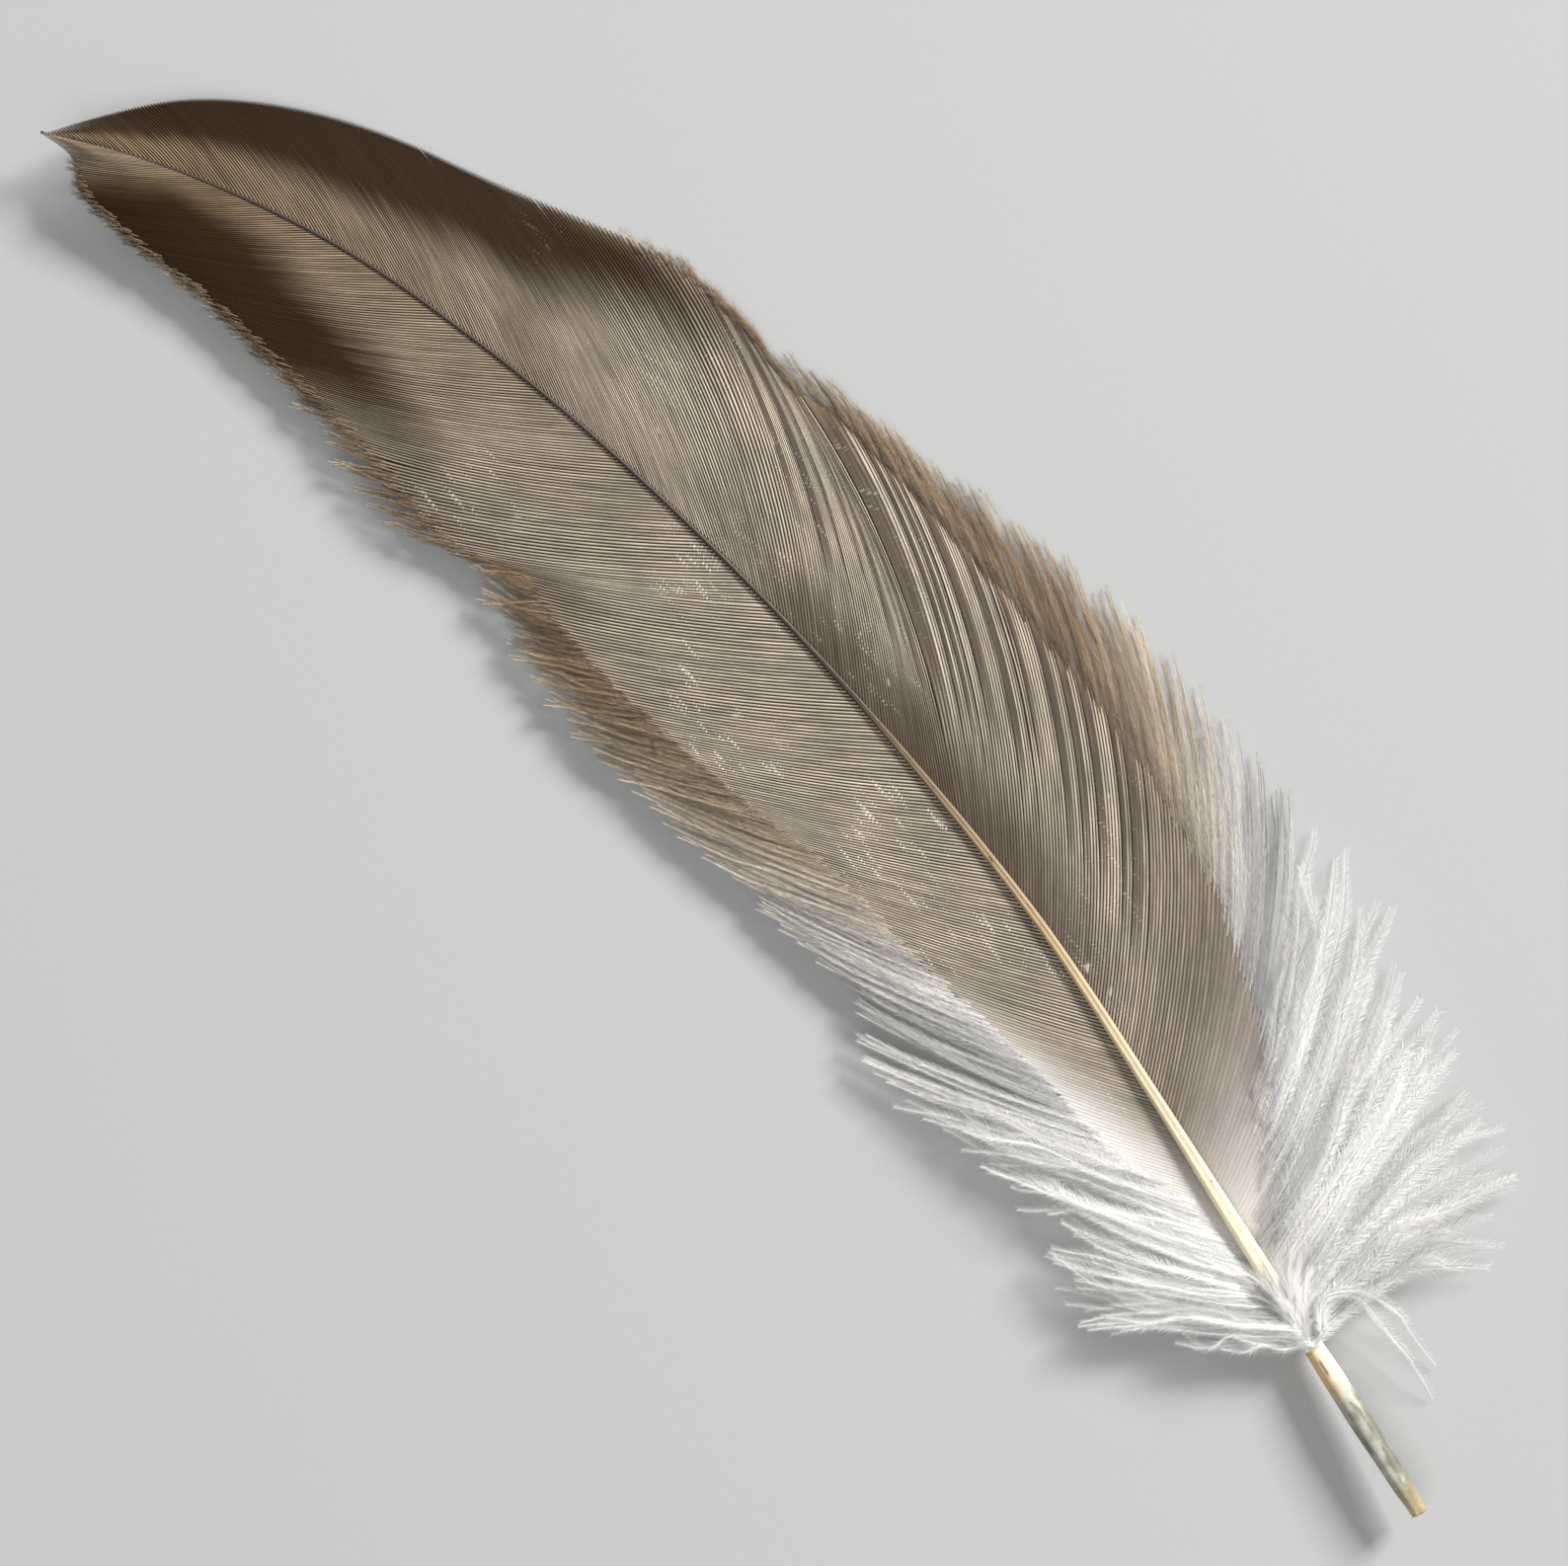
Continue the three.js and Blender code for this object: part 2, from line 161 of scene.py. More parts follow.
@dataclass
class ShaftLine:
    """The shaft's middle line and its sizes, in mm from the blunt end."""

    route: tuple = (
        (0, 0), (10, -2.2), (29.7, -6.5), (49.5, -11), (69.3, -15), (89.5, -17.3), (119.9, -18.5),
        (150.2, -16.6), (170.2, -12.8), (188.9, -5.3), (197.6, 0),
    )
    stations: tuple = (0, 3, 12, 20, 30, 47, 110, 180, 203)
    widths: tuple = (1.6, 2.1, 2.5, 2.1, 1.8, 1.3, 0.62, 0.4, 0.26)
    heights: tuple = (1.6, 2.1, 2.5, 2.3, 2.2, 1.9, 1.2, 0.6, 0.3)
    flat_from: float = 60
    flat_to: float = 140
    base_lift: float = 2.4
    tip_lift: float = 4.5
    samples: int = 1200
    length: float = field(init=False)

    def __post_init__(self) -> None:
        """Measure the line and find the blunt end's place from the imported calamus."""
        knots = np.array(self.route, float)
        travel = np.concatenate([[0], np.cumsum(np.hypot(*np.diff(knots, axis=0).T))])
        fine = np.linspace(0, travel[-1], self.samples)
        slopes = np.gradient(knots, travel, axis=0)
        self._plan = np.stack([self._hermite(travel, knots[:, k], slopes[:, k], fine) for k in (0, 1)], 1)
        steps = np.hypot(*np.diff(self._plan, axis=0).T)
        self._travel = np.concatenate([[0], np.cumsum(steps)])
        self.length = float(self._travel[-1])
        low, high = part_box("calamus")
        along = self.along(np.array([0.0]))[0]
        half = self.widths[0] / 2
        self.origin = np.array([low[0] / MM - half * along[1], high[1] / MM - half * along[0], 0.0])

    @staticmethod
    def _hermite(x: Array, y: Array, slope: Array, at: Array) -> Array:
        """Cubic through the points (x, y) with the given slopes, read at the places in at.

        Args:
            x: rising places of the points.
            y: the points' values.
            slope: the slope at each point.
            at: the places to read.

        Returns:
            The values at the places in at.
        """
        cell = np.clip(np.searchsorted(x, at) - 1, 0, len(x) - 2)
        step = x[cell + 1] - x[cell]
        t = (at - x[cell]) / step
        rise = y[cell + 1] - y[cell]
        start, end = slope[cell] * step, slope[cell + 1] * step
        return y[cell] + t * (start + t * (3 * rise - 2 * start - end + t * (start + end - 2 * rise)))

    def plan(self, s: Array) -> Array:
        """Plan view of the middle line at distances s, as x and y in mm."""
        return np.stack([np.interp(s, self._travel, self._plan[:, k]) for k in (0, 1)], -1)

    def along(self, s: Array) -> Array:
        """Unit direction of the line in plan at distances s.

        Args:
            s: distances along the line in mm.

        Returns:
            Unit vectors in x and y.
        """
        step = 0.5
        ahead = self.plan(np.minimum(s + step, self.length)) - self.plan(np.maximum(s - step, 0))
        return ahead / np.linalg.norm(ahead, axis=-1, keepdims=True)

    def across(self, s: Array) -> Array:
        """Unit direction across the line, towards the narrow vane."""
        along = self.along(s)
        return np.stack([-along[..., 1], along[..., 0]], -1)

    def width(self, s: Array) -> Array:
        """Width of the shaft in mm."""
        return np.interp(s, self.stations, self.widths)

    def height(self, s: Array) -> Array:
        """Height of the shaft in mm."""
        return np.interp(s, self.stations, self.heights)

    def bow(self, s: Array) -> Array:
        """How far the shaft's lower face stands above the floor in mm.

        Args:
            s: distances along the line in mm.

        Returns:
            The heights in mm.
        """
        base = self.base_lift * np.clip((self.flat_from - s) / self.flat_from, 0, 1) ** 2
        tip = self.tip_lift * np.clip((s - self.flat_to) / (self.length - self.flat_to), 0, 1) ** 2
        return base + tip

    def world(self, places: Array) -> Array:
        """Places in mm from the blunt end, as metres in the frame's own axes."""
        return (places + self.origin) * MM


# ---- Meshes and trees --------------------------------------------------------------------------


def mesh_object(name: str, points: Array, faces: list, values: dict[str, Array] | None = None,
                edges: Array | None = None) -> bpy.types.Object:
    """Make an object from points in metres.

    Args:
        name: the piece's name.
        points: an n by 3 array.
        faces: lists of corner numbers, or none for loose lines.
        values: numbers to keep on the points, by name.
        edges: pairs of point numbers, where there are no faces.

    Returns:
        The new object, at the origin.
    """
    mesh = bpy.data.meshes.new(name)
    mesh.from_pydata(points.reshape(-1, 3).tolist(), [] if edges is None else edges.tolist(), faces)
    for key, value in (values or {}).items():
        kept = mesh.attributes.new(key, "FLOAT", "POINT")
        kept.data.foreach_set("value", np.ravel(value).astype(np.float32))
    mesh.update()
    piece = bpy.data.objects.new(name, mesh)
    bpy.context.scene.collection.objects.link(piece)
    return piece


def strand_object(name: str, routes: Array, values: dict[str, Array]) -> bpy.types.Object:
    """Make loose lines, one for each row of routes, with numbers on their points.

    Args:
        name: the piece's name.
        routes: points in metres, a row for each line.
        values: numbers to keep on the points, by name.

    Returns:
        The new object, at the origin.
    """
    rows, columns = routes.shape[:2]
    first = (np.arange(rows)[:, None] * columns + np.arange(columns - 1)).ravel()
    return mesh_object(name, routes, [], values, np.stack([first, first + 1], 1))


def smooth_shade(piece: bpy.types.Object) -> None:
    """Shade every face of a piece smooth."""
    piece.data.polygons.foreach_set("use_smooth", np.ones(len(piece.data.polygons), bool))
    piece.data.update()


def add_node(tree: bpy.types.NodeTree, kind: str, feeds: dict | None, settings: dict) -> bpy.types.Node:
    """Add a node to a geometry or shader tree.

    Args:
        tree: the tree that gets the node.
        kind: the node's type.
        feeds: what goes into its sockets, by name or number: a socket or a value.
        settings: properties of the node itself.

    Returns:
        The new node.
    """
    node = tree.nodes.new(kind)
    for key, value in settings.items():
        setattr(node, key, value)
    for key, value in (feeds or {}).items():
        socket = node.inputs[key]
        if isinstance(value, bpy.types.NodeSocket):
            tree.links.new(value, socket)
        else:
            socket.default_value = value
    return node


class Tree:
    """A geometry tree under construction, with named inputs."""

    def __init__(self, name: str, inputs: dict[str, tuple[str, Any]]) -> None:
        """Open a tree with a geometry input and the given named inputs.

        Args:
            name: the tree's name.
            inputs: the kind and the first value of each input, by name.
        """
        self.group = bpy.data.node_groups.new(name, "GeometryNodeTree")
        interface = self.group.interface
        interface.new_socket("Geometry", in_out="INPUT", socket_type="NodeSocketGeometry")
        interface.new_socket("Geometry", in_out="OUTPUT", socket_type="NodeSocketGeometry")
        self.keys: dict[str, str] = {}
        for label, (kind, default) in inputs.items():
            socket = interface.new_socket(label, in_out="INPUT", socket_type=f"NodeSocket{kind}")
            if default is not None:
                socket.default_value = default
            self.keys[label] = socket.identifier
        self.inputs = self.group.nodes.new("NodeGroupInput").outputs

    def add(self, kind: str, feeds: dict | None = None, **settings: Any) -> bpy.types.Node:
        """Add a node.

        Args:
            kind: the node's type.
            feeds: what goes into its sockets, by name or number: a socket or a value.
            settings: properties of the node itself.

        Returns:
            The new node.
        """
        return add_node(self.group, kind, feeds, settings)

    def math(self, operation: str, *values: Any) -> bpy.types.NodeSocket:
        """Add a math node and return its result."""
        return self.add("ShaderNodeMath", dict(enumerate(values)), operation=operation).outputs[0]

    def vector_math(self, operation: str, **feeds: Any) -> bpy.types.NodeSocket:
        """Add a vector math node, fed by a, b and scale, and return its vector.

        Args:
            operation: what the node does.
            feeds: its inputs a, b and scale.

        Returns:
            The resulting vector.
        """
        numbers = {"a": 0, "b": 1, "scale": 3}
        fed = {numbers[key]: value for key, value in feeds.items()}
        return self.add("ShaderNodeVectorMath", fed, operation=operation).outputs[0]

    def named(self, label: str) -> bpy.types.NodeSocket:
        """Read a number kept on the points by name."""
        node = self.add("GeometryNodeInputNamedAttribute", {"Name": label}, data_type="FLOAT")
        return node.outputs["Attribute"]

    def random(self, low: float, high: float, seed: Any) -> bpy.types.NodeSocket:
        """Random number for each point, between low and high."""
        feeds = {2: low, 3: high, "Seed": seed}
        return self.add("FunctionNodeRandomValue", feeds, data_type="FLOAT").outputs[1]

    def close(self, geometry: bpy.types.NodeSocket) -> None:
        """End the tree: single copies become mesh, and the finish is put on.

        Args:
            geometry: what the tree has made.
        """
        real = self.add("GeometryNodeRealizeInstances", {"Geometry": geometry})
        dressed = self.add("GeometryNodeSetMaterial",
                           {"Geometry": real.outputs[0], "Material": self.inputs["Finish"]})
        self.add("NodeGroupOutput", {"Geometry": dressed.outputs[0]})

    def grow(self, piece: bpy.types.Object, **values: Any) -> bpy.types.Object:
        """Run the tree on a piece and keep the result as its mesh.

        Args:
            piece: the object that holds the lines the tree works on.
            values: the tree's inputs, with underscores for spaces.

        Returns:
            The same object, with its new mesh and no modifier.
        """
        modifier = piece.modifiers.new("grow", "NODES")
        modifier.node_group = self.group
        for label, value in values.items():
            modifier[self.keys[label.replace("_", " ")]] = value
        graph = bpy.context.evaluated_depsgraph_get()
        grown = bpy.data.meshes.new_from_object(piece.evaluated_get(graph), preserve_all_data_layers=True,
                                                depsgraph=graph)
        piece.modifiers.remove(modifier)
        lines = piece.data
        grown.name = piece.name
        piece.data = grown
        bpy.data.meshes.remove(lines)
        smooth_shade(piece)
        return piece


def swept_barbs_tree() -> Tree:
    """Tree that sweeps each line into a barb: a ramus ridge with a web of barbules on each side.

    The lines carry "spacing", the distance to the next barb in metres, and "flat", how far the
    ridge sinks into the web. The result carries "crest", 1 on the ridge and 0 on the web. A
    profile's own y axis points down once it is swept, so it is drawn half a turn round.

    Returns:
        The finished tree.
    """
    tree = Tree("Swept barbs", {
        "Overlap": ("Float", 1.08), "Ridge": ("Float", 0.32), "Keel": ("Float", 0.12),
        "Corners": ("Int", 8), "Finish": ("Material", None),
    })
    line = tree.add("GeometryNodeMeshToCurve", {"Mesh": tree.inputs["Geometry"]}).outputs[0]
    line = tree.add("GeometryNodeSetCurveNormal", {"Curve": line}, mode="Z_UP").outputs[0]
    ring = tree.add("GeometryNodeCurvePrimitiveCircle",
                    {"Resolution": tree.inputs["Corners"], "Radius": 1.0}).outputs[0]
    place = tree.add("ShaderNodeSeparateXYZ", {0: tree.add("GeometryNodeInputPosition").outputs[0]})
    half = tree.math("MULTIPLY", tree.inputs["Overlap"], -0.5)
    spread = tree.math("MULTIPLY", place.outputs[0], tree.math("ABSOLUTE", place.outputs[0]))
    sideways = tree.math("MULTIPLY", spread, half)
    peak = tree.math("POWER", place.outputs[1], 3.0)
    ridge = tree.math("MULTIPLY", peak, tree.inputs["Ridge"])
    deep = tree.math("MULTIPLY", tree.inputs["Keel"], -1.0)
    height = tree.math("MULTIPLY", tree.math("MAXIMUM", ridge, deep), -1.0)
    crest = tree.math("MAXIMUM", peak, 0.0)
    ring = tree.add("GeometryNodeStoreNamedAttribute", {"Geometry": ring, "Name": "crest", "Value": crest},
                    data_type="FLOAT", domain="POINT").outputs[0]
    corner = tree.add("ShaderNodeCombineXYZ", {0: sideways, 1: height}).outputs[0]
    ring = tree.add("GeometryNodeSetPosition", {"Geometry": ring, "Position": corner}).outputs[0]
    barbs = tree.add("GeometryNodeCurveToMesh", {
        "Curve": line, "Profile Curve": ring, "Scale": tree.named("spacing"), "Fill Caps": True,
    }).outputs[0]
    rise = tree.math("MULTIPLY", tree.math("MULTIPLY", tree.named("crest"), tree.named("spacing")),
                     tree.inputs["Ridge"])
    sunk_share = 0.85
    sink = tree.math("MULTIPLY", tree.math("MULTIPLY", rise, tree.named("flat")), -sunk_share)
    down = tree.add("ShaderNodeCombineXYZ", {2: sink}).outputs[0]
    barbs = tree.add("GeometryNodeSetPosition", {"Geometry": barbs, "Offset": down}).outputs[0]
    tree.close(barbs)
    return tree


def plumed_barbs_tree() -> Tree:
    """Tree that makes each line a thin strand with barbules growing from both of its sides.

    The lines carry "girth", the strand's thickness, and "fluff", the barbules' length, both
    as shares of the tree's own sizes.

    Returns:
        The finished tree.
    """
    tree = Tree("Plumed barbs", {
        "Strand radius": ("Float", 0.00003), "Barbule radius": ("Float", 0.00001),
        "Barbule length": ("Float", 0.0008), "Barbule step": ("Float", 0.00018),
        "Barbule lean": ("Float", 0.55), "Barbule lift": ("Float", 0.25),
        "Seed": ("Int", 1), "Finish": ("Material", None),
    })
    line = tree.add("GeometryNodeMeshToCurve", {"Mesh": tree.inputs["Geometry"]}).outputs[0]
    ring = tree.add("GeometryNodeCurvePrimitiveCircle",
                    {"Resolution": 4, "Radius": tree.inputs["Strand radius"]}).outputs[0]
    strands = tree.add("GeometryNodeCurveToMesh", {
        "Curve": line, "Profile Curve": ring, "Scale": tree.named("girth"), "Fill Caps": True,
    }).outputs[0]
    dense = tree.add("GeometryNodeResampleCurve", {"Curve": line, "Length": tree.inputs["Barbule step"]},
                     mode="LENGTH").outputs[0]
    spine = tree.add("GeometryNodeMeshCone", {
        "Vertices": 3, "Radius Bottom": tree.inputs["Barbule radius"], "Radius Top": 0.0,
        "Depth": tree.inputs["Barbule length"],
    }).outputs[0]
    tangent = tree.add("GeometryNodeInputTangent").outputs[0]
    aside = tree.vector_math("NORMALIZE", a=tree.vector_math("CROSS_PRODUCT", a=tangent, b=(0, 0, 1)))
    rows = []
    for row, sign in enumerate((1.0, -1.0)):
        seed = tree.math("ADD", tree.inputs["Seed"], float(10 * row))
        lean = tree.math("MULTIPLY", tree.inputs["Barbule lean"], tree.random(0.6, 1.4, seed))
        out = tree.vector_math("SCALE", a=aside, scale=tree.math("MULTIPLY", lean, sign))
        lift = tree.math("MULTIPLY", tree.inputs["Barbule lift"],
                         tree.random(-0.4, 1.0, tree.math("ADD", seed, 1.0)))
        up = tree.add("ShaderNodeCombineXYZ", {2: lift}).outputs[0]
        heading = tree.vector_math("ADD", a=tree.vector_math("ADD", a=tangent, b=out), b=up)
        turn = tree.add("FunctionNodeAlignRotationToVector", {"Vector": heading}, axis="Z").outputs[0]
        reach = tree.math("MULTIPLY", tree.named("fluff"),
                          tree.random(0.55, 1.15, tree.math("ADD", seed, 2.0)))
        size = tree.add("ShaderNodeCombineXYZ", {0: 1.0, 1: 1.0, 2: reach}).outputs[0]
        rows.append(tree.add("GeometryNodeInstanceOnPoints", {
            "Points": dense, "Instance": spine, "Rotation": turn, "Scale": size,
        }).outputs[0])
    join = tree.add("GeometryNodeJoinGeometry")
    for part in (*rows, strands):
        tree.group.links.new(part, join.inputs[0])
    tree.close(join.outputs[0])
    return tree


# ---- Finishes ----------------------------------------------------------------------------------


class Shade:
    """A material or shader group under construction."""

    def __init__(self, tree: bpy.types.NodeTree) -> None:
        """Work on the given node tree."""
        self.tree = tree

    def add(self, kind: str, feeds: dict | None = None, **settings: Any) -> bpy.types.Node:
        """Add a node, with its properties and with sockets or values fed to its inputs."""
        return add_node(self.tree, kind, feeds, settings)

    def mix(self, share: Any, low: Any, high: Any, blend: str = "MIX") -> bpy.types.NodeSocket:
        """Mix two colours by a share."""
        feeds = {0: share, 6: paint(low), 7: paint(high)}
        return self.add("ShaderNodeMix", feeds, data_type="RGBA", blend_type=blend).outputs[2]

    def math(self, operation: str, *values: Any) -> bpy.types.NodeSocket:
        """Add a math node and return its result."""
        return self.add("ShaderNodeMath", dict(enumerate(values)), operation=operation).outputs[0]

    def rescale(self, value: Any, low: float, high: float, to_low: float = 0, to_high: float = 1) -> Any:
        """Map a value from one range to another, held at both ends."""
        return self.add("ShaderNodeMapRange", {0: value, 1: low, 2: high, 3: to_low, 4: to_high}).outputs[0]

    def grey(self, level: Any) -> bpy.types.NodeSocket:
        """Colour with the same level in all three parts."""
        return self.add("ShaderNodeCombineColor", {0: level, 1: level, 2: level}).outputs[0]

    def value(self, label: str) -> bpy.types.NodeSocket:
        """Read a number kept on the piece's points."""
        return self.add("ShaderNodeAttribute", attribute_name=label).outputs["Fac"]

    def noise(self, vector: Any, scale: float, detail: float = 3.0) -> bpy.types.NodeSocket:
        """Plain noise of a given scale, as a number."""
        feeds = {"Vector": vector, "Scale": scale, "Detail": detail}
        return self.add("ShaderNodeTexNoise", feeds).outputs[0]

    def place(self, scale: tuple[float, float, float] = (1, 1, 1), turn: float = 0) -> bpy.types.NodeSocket:
        """Object coordinates, stretched by scale after a turn about the upright axis.

        Args:
            scale: stretch along each axis.
            turn: angle about the upright axis in radians.

        Returns:
            The coordinates.
        """
        where = self.add("ShaderNodeTexCoord").outputs["Object"]
        if scale == (1, 1, 1) and turn == 0:
            return where
        turned = self.add("ShaderNodeMapping", {"Vector": where, "Rotation": (0, 0, turn)}).outputs[0]
        return self.add("ShaderNodeMapping", {"Vector": turned, "Scale": scale}).outputs[0]

    def group(self, group: bpy.types.NodeTree, feeds: dict) -> bpy.types.Node:
        """Place a shader group, fed by name.

        Args:
            group: the shader group.
            feeds: its inputs by name: sockets or values.

        Returns:
            The placed node.
        """
        node = self.tree.nodes.new("ShaderNodeGroup")
        node.node_tree = group
        for key, value in feeds.items():
            if isinstance(value, bpy.types.NodeSocket):
                self.tree.links.new(value, node.inputs[key])
            else:
                node.inputs[key].default_value = paint(value)
        return node


def paint(colour: Any) -> Any:
    """A colour triple with its fourth number, or anything else as it is."""
    if isinstance(colour, tuple) and len(colour) == 3:
        return (*colour, 1.0)
    return colour


def mottle_group() -> bpy.types.NodeTree:
    """Shader group: breaks a colour up with coarse and fine noise, and gives the fine noise as height.

    Returns:
        The finished group.
    """
    group = bpy.data.node_groups.new("Mottle", "ShaderNodeTree")
    face = group.interface
    inputs = (
        ("Colour", "Color", (0.5, 0.5, 0.5, 1)), ("Vector", "Vector", None),
        ("Coarse", "Float", 120.0), ("Fine", "Float", 1500.0), ("Amount", "Float", 0.2),
    )
    for label, kind, default in inputs:
        socket = face.new_socket(label, in_out="INPUT", socket_type=f"NodeSocket{kind}")
        if default is not None:
            socket.default_value = default
    face.new_socket("Colour", in_out="OUTPUT", socket_type="NodeSocketColor")
    face.new_socket("Height", in_out="OUTPUT", socket_type="NodeSocketFloat")
    shade = Shade(group)
    source = group.nodes.new("NodeGroupInput").outputs
    coarse = shade.noise(source["Vector"], source["Coarse"], 4.0)
    fine = shade.noise(source["Vector"], source["Fine"], 2.0)
    both = shade.math("ADD", shade.math("MULTIPLY", coarse, 0.65), shade.math("MULTIPLY", fine, 0.35))
    swing = shade.math("MULTIPLY", shade.math("SUBTRACT", both, 0.5), source["Amount"])
    level = shade.math("ADD", shade.math("MULTIPLY", swing, 2.0), 1.0)
    result = shade.mix(1.0, source["Colour"], shade.grey(level), "MULTIPLY")
    end = group.nodes.new("NodeGroupOutput")
    group.links.new(result, end.inputs["Colour"])
    group.links.new(fine, end.inputs["Height"])
    return group


@dataclass(frozen=True)
class Finish:
    """What every finish has: its name, roughness, bump, mottling, coat and gloss.

    swing is how far the roughness goes up and down with the mottling.
    """

    name: str
    roughness: float = 0.6
    swing: float = 0.08
    bump: float = 0.3
    bump_depth: float = 0.00003
    mottle: float = 0.3
    coarse: float = 150.0
    fine: float = 2500.0
    coat: float = 0.0
    gloss: float = 0.5

    def colour(self, shade: Shade) -> Any:
        """The colour before mottling; each finish has its own."""
        raise NotImplementedError

    def build(self, mottle: bpy.types.NodeTree) -> bpy.types.Material:
        """Make the material.

        Args:
            mottle: the shader group that breaks the colour up.

        Returns:
            The finished material.
        """
        material = bpy.data.materials.new(self.name)
        material.use_nodes = True
        tree = material.node_tree
        tree.nodes.clear()
        shade = Shade(tree)
        group = shade.group(mottle, {
            "Colour": self.colour(shade), "Vector": shade.place(), "Coarse": self.coarse,
            "Fine": self.fine, "Amount": self.mottle,
        })
        bump = shade.add("ShaderNodeBump", {
            "Strength": self.bump, "Distance": self.bump_depth, "Height": group.outputs["Height"],
        })
        rough = shade.rescale(group.outputs["Height"], 0.3, 0.7,
                              self.roughness - self.swing, self.roughness + self.swing)
        body = shade.add("ShaderNodeBsdfPrincipled", {
            "Base Color": group.outputs["Colour"], "Roughness": rough, "Normal": bump.outputs[0],
            "Coat Weight": self.coat, "Specular IOR Level": self.gloss,
        })
        output = shade.add("ShaderNodeOutputMaterial")
        tree.links.new(body.outputs[0], output.inputs[0])
        return material


@dataclass(frozen=True)
class HookedBarbFinish(Finish):
    """Hooked barbs: a brown web deepened by painted shade, with pale ridges that carry painted sheen,
    chocolate near the tip's margins, pale low down.
    """

    # The pale ridge and dark web are partly the barbs' own colours and partly painted: sheen on the ridges
    # and shade in the grooves between them.
    web: Colour = (0.036, 0.026, 0.018)
    ridge: Colour = (0.56, 0.476, 0.38)
    olive_web: Colour = (0.030, 0.019, 0.010)
    olive_ridge: Colour = (0.31, 0.222, 0.130)
    chocolate: Colour = (0.027, 0.0135, 0.0065)
    chocolate_ridge: Colour = (0.048, 0.026, 0.013)
    plain: Colour = (0.112, 0.085, 0.064)
    pale_web: Colour = (0.15, 0.118, 0.088)
    pale_ridge: Colour = (0.42, 0.362, 0.29)
    pale_plain: Colour = (0.27, 0.22, 0.172)
    down_white: Colour = (0.68, 0.65, 0.60)
    tan: Colour = (0.30, 0.21, 0.12)
    # Near white, for streaks of wear and for painted glints.
    rubbed_and_glint: Colour = (0.80, 0.75, 0.66)

    def colour(self, shade: Shade) -> Any:
        """Web or ridge, by height on the barb, each by its place on the vane.

        Args:
            shade: the material under construction.

        Returns:
            The socket with the colour.
        """
        labels = ("dark", "pale", "tan", "flat", "white")
        dark, pale, tan, flat, white = (shade.value(label) for label in labels)
        # Painted sheen on the ridges: broad blotches of painted light and shade, times painted glints
        # streaked along the barbs.
        painted_light_patches = shade.noise(shade.place((90, 160, 60), 0.35), 1.0, 3.0)
        streaks = shade.rescale(shade.noise(self.grid(shade, 0.22, 1.9), 1.0, 3.0), 0.32, 0.70, 0.76, 1.28)
        painted_sheen = shade.math("MULTIPLY", shade.rescale(painted_light_patches, 0.32, 0.68, 0.84, 1.16), streaks)
        upper = shade.rescale(shade.value("root"), 118, 186)
        smooth_part = shade.mix(pale, self.plain, self.pale_plain)
        web = shade.mix(pale, shade.mix(upper, self.web, self.olive_web), self.pale_web)
        ridge = shade.mix(pale, shade.mix(upper, self.ridge, self.olive_ridge), self.pale_ridge)
        web, ridge = shade.mix(flat, web, smooth_part), shade.mix(flat, ridge, smooth_part)
        # The painted sheen lightens and darkens the ridges.
        ridge = shade.mix(1.0, ridge, shade.grey(painted_sheen), "MULTIPLY")
        web = shade.mix(tan, shade.mix(dark, web, self.chocolate), self.tan)
        ridge = shade.mix(tan, shade.mix(dark, ridge, self.chocolate_ridge), self.tan)
        # Web to ridge by height on the barb: own colours with painted sheen on the ridges and painted shade
        # between them.
        barb = shade.mix(shade.rescale(shade.value("crest"), 0.2, 0.62), web, ridge)
        level = shade.rescale(shade.value("tone"), 0, 1, 0.72, 1.28)
        toned = shade.mix(1.0, barb, shade.grey(level), "MULTIPLY")
        toned = shade.mix(white, toned, self.down_white)
        # Near-white streaks: wear across the barbs, painted glints along them.
        return shade.mix(self.scratches_and_glints(shade), toned, self.rubbed_and_glint)

    def grid(self, shade: Shade, reach_scale: float, root_scale: float) -> Any:
        """Coordinates on the vane itself, for patterns that follow its barbs.

        Args:
            shade: the material under construction.
            reach_scale: scale of the distance along the barb.
            root_scale: scale of the barb's place on the shaft.

        Returns:
            The socket with the coordinates.
        """
        reach = shade.math("MULTIPLY", shade.value("reach"), reach_scale)
        root = shade.math("MULTIPLY", shade.value("root"), root_scale)
        return shade.add("ShaderNodeCombineXYZ", {0: reach, 1: root}).outputs[0]

    def scratches_and_glints(self, shade: Shade) -> Any:
        """Where the barbs turn near white: short streaks of wear across them and short painted glints along
        them, gathered in a few places.

        Args:
            shade: the material under construction.

        Returns:
            The socket with the share of the near-white colour, for wear and for painted glints.
        """
        across = shade.rescale(shade.noise(self.grid(shade, 2.6, 0.22), 1.0, 2.0), 0.62, 0.70)
        # Streaks along the barbs are painted glints; those across them are wear.
        along = shade.rescale(shade.noise(self.grid(shade, 0.30, 2.2), 1.0, 2.0), 0.70, 0.78)
        places = shade.noise(shade.place((75, 75, 60)), 1.0, 1.0)
        streak = shade.math("MAXIMUM", shade.math("MULTIPLY", across, shade.value("scored")), along)
        where = shade.math("MULTIPLY", shade.rescale(places, 0.49, 0.60, 0, 0.75), shade.value("worn_and_glint"))
        crest = shade.rescale(shade.value("crest"), 0.05, 0.4, 0.85, 1.0)
        return shade.math("MULTIPLY", shade.math("MULTIPLY", streak, where), crest)


